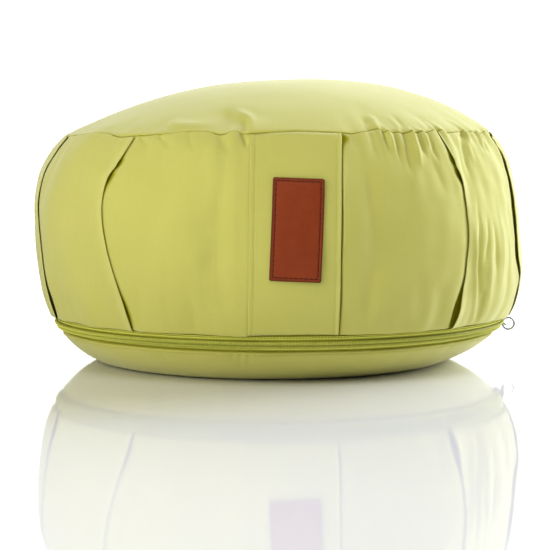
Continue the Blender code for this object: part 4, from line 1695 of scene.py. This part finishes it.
@dataclass
class LeatherLabel:
    """The leather label, with a pressed border, on the front strip."""

    finish: Material
    name: str = "leather_label_hide"
    width: float = 31.5 * MM
    height: float = 63.0 * MM
    thickness: float = 1.5 * MM
    clear: float = 0.5 * MM
    centre_down: float = 64.6 * MM
    tilt: float = 2.5 * DEGREE
    corner: float = 1.2 * MM
    border: float = 2.15 * MM
    groove: float = 0.32 * MM
    groove_width: float = 0.45 * MM
    bevel: float = 0.5 * MM
    puff: float = 0.16 * MM
    puff_run: float = 5 * MM
    # rim sets how far the painted shade reaches in from the edge; the groove tone below sets how strong
    # it is in the pressed groove.
    rim: float = 0.9 * MM
    back_bevel: float = 0.6
    groove_shade: float = 0.55
    columns: int = 60
    rows: int = 110

    def inset(self, across: Field, down: Field) -> Field:
        """How far inside the label's rounded outline a place is.

        Args:
            across: How far right of its middle each place lies.
            down: How far below its middle.

        Returns:
            The distance from the outline.
        """
        past_x = np.abs(across) - (self.width / 2 - self.corner)
        past_y = np.abs(down) - (self.height / 2 - self.corner)
        outside = np.hypot(np.maximum(past_x, 0.0), np.maximum(past_y, 0.0))
        return self.corner - outside - np.minimum(np.maximum(past_x, past_y), 0.0)

    def place(self, across: Any, down: Any, below: Any) -> Field:
        """Points of the label.

        Args:
            across: How far right of its middle each lies.
            down: How far below its middle.
            below: Depth under its face.

        Returns:
            The points, in the row frame.
        """
        turned = across * math.cos(self.tilt) - down * math.sin(self.tilt)
        distance = self.centre_down + down * math.cos(self.tilt) + across * math.sin(self.tilt)
        depth = SEWING.strip_face(turned) - self.thickness - self.clear + below
        return FORM.place(turned / FORM.radius_at(distance), distance, depth)

    def build(self) -> None:
        """Builds the label."""
        downs = self.height / 2 * crowded(self.rows)
        past = np.maximum(np.abs(downs) - (self.height / 2 - self.corner), 0.0)
        half = self.width / 2 - self.corner + np.sqrt(np.maximum(self.corner**2 - past**2, 0.0))
        share = crowded(self.columns)
        across = half[:, None] * np.concatenate([share, share[::-1]])[None, :]
        down = np.broadcast_to(downs[:, None], across.shape)
        face = np.arange(2 * self.columns) < self.columns
        inset = self.inset(across, down)
        near = np.clip(inset / self.bevel, 0.0, 1.0)
        edge = self.bevel * (1 - np.sqrt(near * (2 - near)))
        pressed = self.groove * bell(inset, self.border, self.groove_width)
        puffed = self.puff * ease((inset - self.border) / self.puff_run)
        back = self.thickness - self.back_bevel * edge
        loops = self.place(across, down, np.where(face, edge + pressed - puffed, back))
        # Painted shade along the edge and in the pressed groove, and all over the back and sides.
        rim_shade = bell(np.maximum(inset, 0), 0.0, self.rim) + self.groove_shade * pressed / self.groove
        draft = Draft().loft(loops, tone=np.where(face, np.clip(rim_shade, 0, 1), 1.0))
        ride(draft.make(self.name, self.finish), "leather", "leather_label")


# ---- the zip

# The coil's section: places across its half width, and the height of its hump there
COIL_ACROSS = np.array([-1.0, -0.93, -0.74, -0.5, -0.26, -0.1, 0.0, 0.1, 0.26, 0.5, 0.74, 0.93, 1.0])
COIL_HUMP = np.array([0.0, 0.5, 0.86, 1.0, 0.88, 0.56, 0.18, 0.56, 0.88, 1.0, 0.86, 0.5, 0.0])


@dataclass
class Zip:
    """The closed zip: two woven tapes and the coil's teeth between them."""

    tape: Material
    nylon: Material
    parting: float = 0.2 * MM
    coil_thickness: float = 1.9 * MM
    coil_proud: float = 0.12 * MM
    pitch: float = 1.1 * MM
    per_tooth: int = 4
    gap_height: float = 0.66
    # Tone left in the gaps between teeth: the coil's tone is a painted highlight on its humps and
    # painted shade in its gaps.
    gap_tone: float = 0.12
    core: float = 0.05
    tape_rows: int = 360
    tape_columns: int = 17
    tape_wave: float = 0.12 * MM
    tape_waves: float = 9.0
    tape_bevel: float = 0.25 * MM
    # Painted shade on the tape: its width beside the coil, and its strength and width along the tape's
    # outer edge.
    coil_shade_width: float = 0.5 * MM
    outer_shade: float = 0.3
    outer_shade_width: float = 0.6 * MM

    def band(self, offsets: Field, depths: Field, rows: int) -> tuple[Field, Field]:
        """A band along the zip.

        Args:
            offsets: Offsets of its section from the zip's line.
            depths: Depths of its section.
            rows: How many loops it has.

        Returns:
            Its loops and their cloth coordinates.
        """
        angle = np.linspace(-SEWING.zip_half_angle, SEWING.zip_half_angle, rows)
        turned, offset = np.broadcast_arrays(angle[:, None], offsets)
        loops = FORM.place(turned, FORM.zip_line + offset, depths)
        return loops, np.stack([turned * FORM.radius_at(FORM.zip_line), offset], -1)

    def build_tape(self, node: str, side: int) -> None:
        """Builds one tape.

        Args:
            node: The node that it stands for.
            side: -1 for the tape above the zip's line, 1 for the one below it.
        """
        reach, face, thick = SEWING.tape_reach, SEWING.tape_face, SEWING.tape_thickness
        inner = np.linspace(self.parting, reach, self.tape_columns)
        waved = face + self.tape_wave * np.sin(inner / reach * self.tape_waves)
        depths = np.concatenate([waved, 0 * inner + face + thick])
        last = self.tape_columns - 1
        depths[[0, last]] += self.tape_bevel
        depths[[last + 1, -1]] -= self.tape_bevel
        loops, cloth = self.band(side * np.concatenate([inner, inner[::-1]]), depths, self.tape_rows)
        away = np.abs(cloth[..., 1])
        # Painted shade: darker beside the coil and towards the tape's outer edge, where it runs under
        # the cloth's lip.
        coil_shade = bell(away - SEWING.coil_width / 2, self.tape_bevel, self.coil_shade_width)
        edge = self.outer_shade * ease((away - reach + self.outer_shade_width) / self.outer_shade_width)
        draft = Draft().loft(loops, Ends.CAPPED, cloth, np.clip(coil_shade + edge, 0.0, 1.0))
        ride(draft.make(f"{node}_weave", self.tape), "zip_tape", node)

    def build_coil(self) -> None:
        """Builds the closed coil, with a hump of nylon for every tooth on each side."""
        teeth = round(2 * SEWING.zip_half_angle * FORM.radius_at(FORM.zip_line) / self.pitch)
        rows = teeth * self.per_tooth + 1
        along = np.linspace(0.0, teeth, rows)[:, None] + np.where(COIL_ACROSS < 0, 0.5, 0.0)
        tooth = 0.5 + 0.5 * np.cos(TURN * along)
        under = SEWING.tape_face - SEWING.coil_gap
        top = under - self.coil_thickness
        rise = (1 - self.gap_height) * tooth * (np.abs(COIL_ACROSS) > self.core)
        height = self.coil_thickness * COIL_HUMP * (self.gap_height + rise)
        face = top + self.coil_thickness - height
        offsets = SEWING.coil_width / 2 * np.concatenate([COIL_ACROSS, [0.7, 0.0, -0.7]])
        depths = np.concatenate([face - self.coil_proud, np.full((rows, 3), under)], axis=1)
        loops, cloth = self.band(offsets, depths, rows)
        # Painted highlight on each tooth's hump, and painted shade in the gaps, at the coil's sides and
        # on the columns under it.
        shine = COIL_HUMP * (self.gap_tone + (1 - self.gap_tone) * tooth)
        tone = np.concatenate([shine, np.zeros((rows, 3))], axis=1)
        draft = Draft().loft(loops, Ends.CAPPED, cloth, tone)
        ride(draft.make("zip_coil_teeth", self.nylon), "zip_coil", "zip_coil")

    def build(self) -> None:
        """Builds the tapes and the coil."""
        self.build_tape("zip_tape_upper", -1)
        self.build_tape("zip_tape_lower", 1)
        self.build_coil()


@dataclass
class Slider:
    """The zip's slider with its bridge, and the pull ring threaded through it."""

    finish: Material
    angle: float = 88.0 * DEGREE
    length: float = 10.0 * MM
    plate: float = 1.5 * MM
    wall: float = 1.0 * MM
    lip: float = 1.6 * MM
    clear: float = 0.6 * MM
    taper: float = 0.86
    dome: float = 0.35 * 0.6 * MM
    round_from: float = 0.72
    end_width: float = 0.55
    edge: float = 0.2 * MM
    shoulder: Rows = ((1, 0.55), (0.92, 0.12), (0.6, 0), (0, -0.1))
    sections: int = 25
    coil_face: float = -1.2 * MM
    bridge_wire: float = 0.6 * MM
    bridge_clear: float = 3.0 * MM
    bridge_half: float = 3.4 * MM
    bridge_root: float = 0.4 * MM
    bridge_bend: tuple[float, float] = (1.0 * MM, 1.2 * MM)
    ring_radius: float = 4.1 * MM
    ring_wire: float = 0.66 * MM
    ring_clear: float = 0.54 * MM
    ring_lift: float = 58.0 * DEGREE
    ring_turn: float = -0.5 * DEGREE

    def __post_init__(self) -> None:
        """Works out the heights over the cloth's face."""
        self.floor = SEWING.coil_gap - self.coil_face
        self.top = self.floor + self.plate
        self.crest = self.top + self.bridge_clear + self.bridge_wire
        self.placing = np.array(FORM.frame_at(self.angle, FORM.zip_line))

    def laid(self, points: Field) -> Field:
        """Points of the slider's own frame, in the row frame."""
        return points @ self.placing[:3, :3].T + self.placing[:3, 3]

    def body_loops(self) -> Field:
        """Sections of the body: a domed plate with a lip down each side of the coil.

        Returns:
            The sections, in the slider's own frame.
        """
        inner, edge = SEWING.coil_width / 2 + self.clear, self.edge
        outer, low = inner + self.wall, self.floor - self.lip
        loops = []
        for share in np.linspace(-1.0, 1.0, self.sections):
            past = max(0.0, (abs(share) - self.round_from) / (1 - self.round_from))
            narrow = self.taper + (1 - self.taper) * ease((share + 1) / 2)
            rounded = math.sqrt(max(0.0, 1 - past**2))
            scale = narrow * (self.end_width + (1 - self.end_width) * rounded)
            high = self.top + self.dome * (1 - share**2)
            top = [(-outer * part, high - drop * MM) for part, drop in self.shoulder]
            top += [(-y, z) for y, z in reversed(top[:-1])]
            side = [(outer, low + edge), (outer - edge, low), (inner + edge, low), (inner, low + edge)]
            under = [(y, self.floor) for y in (inner, 0.0, -inner)]
            loop = top + side + under + [(-y, z) for y, z in reversed(side)]
            loops.append([(share * self.length / 2, y * scale, z) for y, z in loop])
        return np.array(loops)

    def bridge_line(self) -> Field:
        """The bridge's arch.

        Returns:
            Its points from foot to foot, in the slider's own frame.
        """
        reach, foot = self.bridge_half, self.top - self.bridge_root
        over, down = self.bridge_bend
        corners = [(-reach, foot), (-reach, self.crest - down), (-reach + over, self.crest)]
        curve = smooth_rows(corners + [(-x, z) for x, z in reversed(corners)], 30)
        return np.stack([curve[:, 0], 0 * curve[:, 0], np.minimum(curve[:, 1], self.crest)], -1)

    def build_slider(self) -> None:
        """Builds the slider's body and bridge."""
        draft = Draft().loft(self.laid(self.body_loops()))
        draft.loft(self.laid(tube(self.bridge_line(), self.bridge_wire, 12)))
        ride(draft.make("zip_slider_cast", self.finish), "zip_metal", "zip_slider")

    def build_ring(self) -> None:
        """Builds the ring, lifted level with the zip."""
        hang = self.ring_radius - (self.bridge_wire + self.ring_clear + self.ring_wire)
        lift = np.array([0.0, math.sin(self.ring_lift), math.cos(self.ring_lift)])
        turn = np.linspace(0.0, TURN, 72, endpoint=False)
        turned = Matrix.Rotation(self.ring_turn, 3, Vector(lift)) @ Matrix.Rotation(math.pi / 2, 3, "Y")
        circle = np.stack([np.cos(turn), np.sin(turn), 0 * turn], -1) * self.ring_radius
        line = circle @ np.array(turned).T + np.array([0.0, 0.0, self.crest]) + lift * hang
        draft = Draft().loft(self.laid(tube(line, self.ring_wire, 14, closed=True)), Ends.JOINED)
        ride(draft.make("zip_ring_pull", self.finish), "zip_metal", "zip_ring")


# ---- stitches


@dataclass
class Stitches:
    """A row of stitches, each a short arch of thread."""

    name: str
    slot: str
    finish: Material
    length: float
    space: float
    thread: float
    sunk: float = 0.16 * MM
    proud: float = 0.7
    twist: float = 0.3 * MM
    around: int = 6
    along: int = 6

    def add(self, draft: Draft, line: Field, out: Field) -> None:
        """Adds stitches along a line.

        Args:
            draft: What the stitches are added to.
            line: Points of the line, on the face that is sewn.
            out: The face's outward direction at each point.
        """
        down = walked(line)
        pitch = self.length + self.space
        share = np.linspace(0.0, 1.0, self.along)
        arch = (self.proud * self.thread + self.sunk) * np.sin(math.pi * share) - self.sunk
        for index in range(int((down[-1] + self.space) / pitch)):
            at = index * pitch + share * self.length
            path, normal = (
                np.stack([np.interp(at, down, part) for part in values.T], -1) for values in (line, out)
            )
            cloth = np.zeros((self.along, self.around, 2))
            cloth[..., 0] = at[:, None] + np.linspace(0, 1, self.around) * self.twist
            loops = tube(path + normal * arch[:, None], self.thread, self.around)
            draft.loft(loops, Ends.CAPPED, cloth)

    def sew(self, *lines: tuple[Field, Field]) -> None:
        """Sews along lines.

        Args:
            lines: Each line's points and its face's outward directions there.
        """
        draft = Draft()
        for line, out in lines:
            self.add(draft, line, out)
        ride(draft.make(self.name, self.finish), self.slot)


@dataclass
class Needlework:
    """All the stitching that shows."""

    lime: Material
    green: Material
    brown: Material
    tape_offset: float = 5.2 * MM
    base_offset: float = 2.0 * MM
    reach: float = SEWING.zip_half_angle - 1.5 * DEGREE
    tape_proud: float = 0.02 * MM
    groove_proud: float = 0.06 * MM
    strip_top: float = 5.0 * MM
    strip_foot: float = 4.0 * MM

    def sew_zip(self) -> None:
        """Sews the two tapes in, and topstitches the base panel's edge below them."""
        angle = np.linspace(-self.reach, self.reach, 900)
        lines = []
        for offset in (-self.tape_offset, self.tape_offset):
            distance = np.full(angle.shape, FORM.zip_line + offset)
            line = FORM.place(angle, distance, SEWING.tape_face - self.tape_proud)
            lines.append((line, outwards(angle, distance)))
        Stitches("zip_stitches", "zip_tape", self.green, 1.2 * MM, 0.8 * MM, 0.2 * MM).sew(*lines)
        distance = np.full(angle.shape, FORM.zip_line + SEWING.bed_edge + self.base_offset)
        line = FORM.place(angle, distance, -RELIEF.height(angle, distance))
        stitches = Stitches("base_stitches", "cotton", self.lime, 1.9 * MM, 0.7 * MM, 0.18 * MM)
        stitches.sew((line, outwards(angle, distance)))

    def sew_strip(self, strip: FrontStrip) -> None:
        """Topstitches the strip's left edge.

        Args:
            strip: The strip.
        """
        distance = np.linspace(self.strip_top, SEWING.band_length - self.strip_foot, 200)
        across = np.full(distance.shape, -SEWING.strip_width / 2 + strip.stitch_inset)
        angle = strip.angle(across, distance)
        depth = strip.face(across, distance) - strip.follow * RELIEF.height(angle, distance)
        line = FORM.place(angle, RELIEF.seam_shift(angle, distance), depth)
        stitches = Stitches("strip_stitches", "cotton", self.lime, 2.3 * MM, 0.5 * MM, 0.17 * MM)
        stitches.sew((line, outwards(angle, distance)))

    def sew_label(self, label: LeatherLabel) -> None:
        """Sews the label down in its pressed border.

        Args:
            label: The label.
        """
        x, y = label.width / 2 - label.border, label.height / 2 - label.border
        corners = np.array([(-x, -y), (x, -y), (x, y), (-x, y)])
        lines = []
        for start, end in zip(corners, np.roll(corners, -1, axis=0)):
            path = (start + (end - start) * np.linspace(0.0, 1.0, 60)[:, None]).T
            out = unit(label.place(*path, -1.0 * MM) - label.place(*path, 0.0))
            lines.append((label.place(*path, label.groove - self.groove_proud), out))
        Stitches("label_stitches", "leather", self.brown, 2.1 * MM, 1.0 * MM, 0.2 * MM).sew(*lines)


# ---- the studio


class Lamp(NamedTuple):
    """A soft box: its angle and height round the cushion in degrees, its watts and its tint."""

    name: str
    angle: float
    height: float
    power: float
    tint: Colour = (1.0, 1.0, 1.0)


LAMPS = (
    Lamp("softbox_right", 105.0, 20.0, 28.6, (0.87, 0.89, 1.0)),
    Lamp("softbox_left_front", -55.0, 18.0, 13.0),
    Lamp("softbox_front_high", 0.0, 55.0, 9.5),
    Lamp("softbox_back_high", 180.0, 45.0, 9.8, (0.92, 0.94, 1.0)),
    Lamp("softbox_right_back", 130.0, 38.0, 17.0, (0.56, 0.62, 1.0)),
)


@dataclass
class Studio:
    """The floor, the backdrop, the lights and the camera, which aren't part of the object."""

    distance: float = 1.248
    eye_height: float = 0.1582
    axis_shift: float = 1.75 * MM
    azimuth: float = -4.0 * DEGREE
    horizon: float = 143.0
    focal_pixels: float = 1780.0
    picture: float = 550.0
    sensor: float = 36.0
    floor_size: float = 4.4
    floor_drop: float = 0.05 * MM
    backdrop_width: float = 2.4
    backdrop_height: float = 1.3
    lamp_size: float = 0.9
    lamp_distance: float = 1.6
    lamp_aim: float = 80.0 * MM
    fill: float = 0.03

    def build_camera(self) -> None:
        """Sets the camera at the photograph's viewpoint."""
        data = bpy.data.cameras.new("photo_view")
        data.sensor_width = self.sensor
        data.lens = self.focal_pixels * self.sensor / self.picture
        camera = bpy.data.objects.new("photo_view", data)
        back, turn = math.sin(self.azimuth), math.cos(self.azimuth)
        camera.location = (
            self.distance * back - self.axis_shift * turn,
            -self.distance * turn - self.axis_shift * back,
            self.eye_height,
        )
        pitch = math.atan(self.horizon / self.focal_pixels)
        camera.rotation_euler = (math.pi / 2 - pitch, 0.0, self.azimuth)
        bpy.context.scene.collection.objects.link(camera)
        bpy.context.scene.camera = camera

    def build_floor(self) -> None:
        """Lays the glossy floor."""
        half = self.floor_size / 2
        corners = half * np.array([(-1, -1, 0), (1, -1, 0), (1, 1, 0), (-1, 1, 0)])
        draft = Draft().loft(np.array([corners, corners * 0.5]), Ends.OPEN)
        draft.faces.append([4, 5, 6, 7])
        floor = draft.make("studio_floor", GlossyFloor().material())
        floor.location.z = -self.floor_drop

    def build_backdrop(self) -> None:
        """Hangs a lit white sheet behind, which the floor mirrors."""
        draft = Draft()
        back, half, top = self.floor_size / 2, self.backdrop_width / 2, self.backdrop_height
        rim = ((-half, 0.0), (half, 0.0), (half, top), (-half, top))
        corners = np.array([(across, back, height) for across, height in rim])
        draft.keep(corners, np.zeros((4, 2)), np.zeros(4))
        draft.faces.append([0, 1, 2, 3])
        draft.make("studio_backdrop", LitSheet().material())

    def build_lights(self) -> None:
        """Hangs the soft boxes."""
        for lamp in LAMPS:
            data = bpy.data.lights.new(lamp.name, "AREA")
            data.size, data.energy, data.color = self.lamp_size, lamp.power, lamp.tint
            turn, rise = lamp.angle * DEGREE, lamp.height * DEGREE
            level = math.cos(rise)
            out = Vector((math.sin(turn) * level, -math.cos(turn) * level, math.sin(rise)))
            light = bpy.data.objects.new(lamp.name, data)
            light.location = out * self.lamp_distance + Vector((0.0, 0.0, self.lamp_aim))
            light.rotation_euler = (-out).to_track_quat("-Z", "Y").to_euler()
            bpy.context.scene.collection.objects.link(light)

    def build_room(self) -> None:
        """Sets white surroundings, which light the cushion only a little."""
        world = bpy.data.worlds.new("white_room")
        world.use_nodes = True
        bpy.context.scene.world = world
        nodes, links = world.node_tree.nodes, world.node_tree.links
        room, rays = nodes["Background"], nodes.new("ShaderNodeLightPath")
        strength = nodes.new("ShaderNodeMath")
        room.inputs["Color"].default_value = (1.0, 1.0, 1.0, 1.0)
        strength.operation = "MULTIPLY_ADD"
        strength.inputs[1].default_value = 1.0 - self.fill
        strength.inputs[2].default_value = self.fill
        links.new(rays.outputs["Is Camera Ray"], strength.inputs[0])
        links.new(strength.outputs[0], room.inputs["Strength"])
        bpy.context.scene.view_settings.view_transform = "Standard"

    def build(self) -> None:
        """Builds the whole studio."""
        self.build_camera()
        self.build_floor()
        self.build_backdrop()
        self.build_lights()
        self.build_room()


def write_sizes() -> None:
    """Brings the view layer up to date."""
    bpy.context.view_layer.update()


def main() -> None:
    """Builds the studio, then every piece in order."""
    logging.basicConfig(level=logging.INFO, format="%(name)s: %(message)s")
    Studio().build()
    cotton = Cotton().material()
    Settling(cotton).run()
    CushionCover(cotton).build()
    strip, label = FrontStrip(cotton), LeatherLabel(Leather().material())
    strip.build()
    label.build()
    Zip(Tape().material(), Nylon().material()).build()
    slider = Slider(Nickel().material())
    slider.build_slider()
    slider.build_ring()
    needlework = Needlework(
        lime=Thread("lime_thread", (0.62, 0.60, 0.13), (0.42, 0.40, 0.05)).material(),
        green=Thread("green_thread", (0.22, 0.235, 0.012), (0.10, 0.11, 0.004)).material(),
        brown=Thread("brown_thread", (0.06, 0.010, 0.002), (0.025, 0.004, 0.001)).material(),
    )
    needlework.sew_zip()
    needlework.sew_strip(strip)
    needlework.sew_label(label)
    write_sizes()


if __name__ == "__main__":
    main()
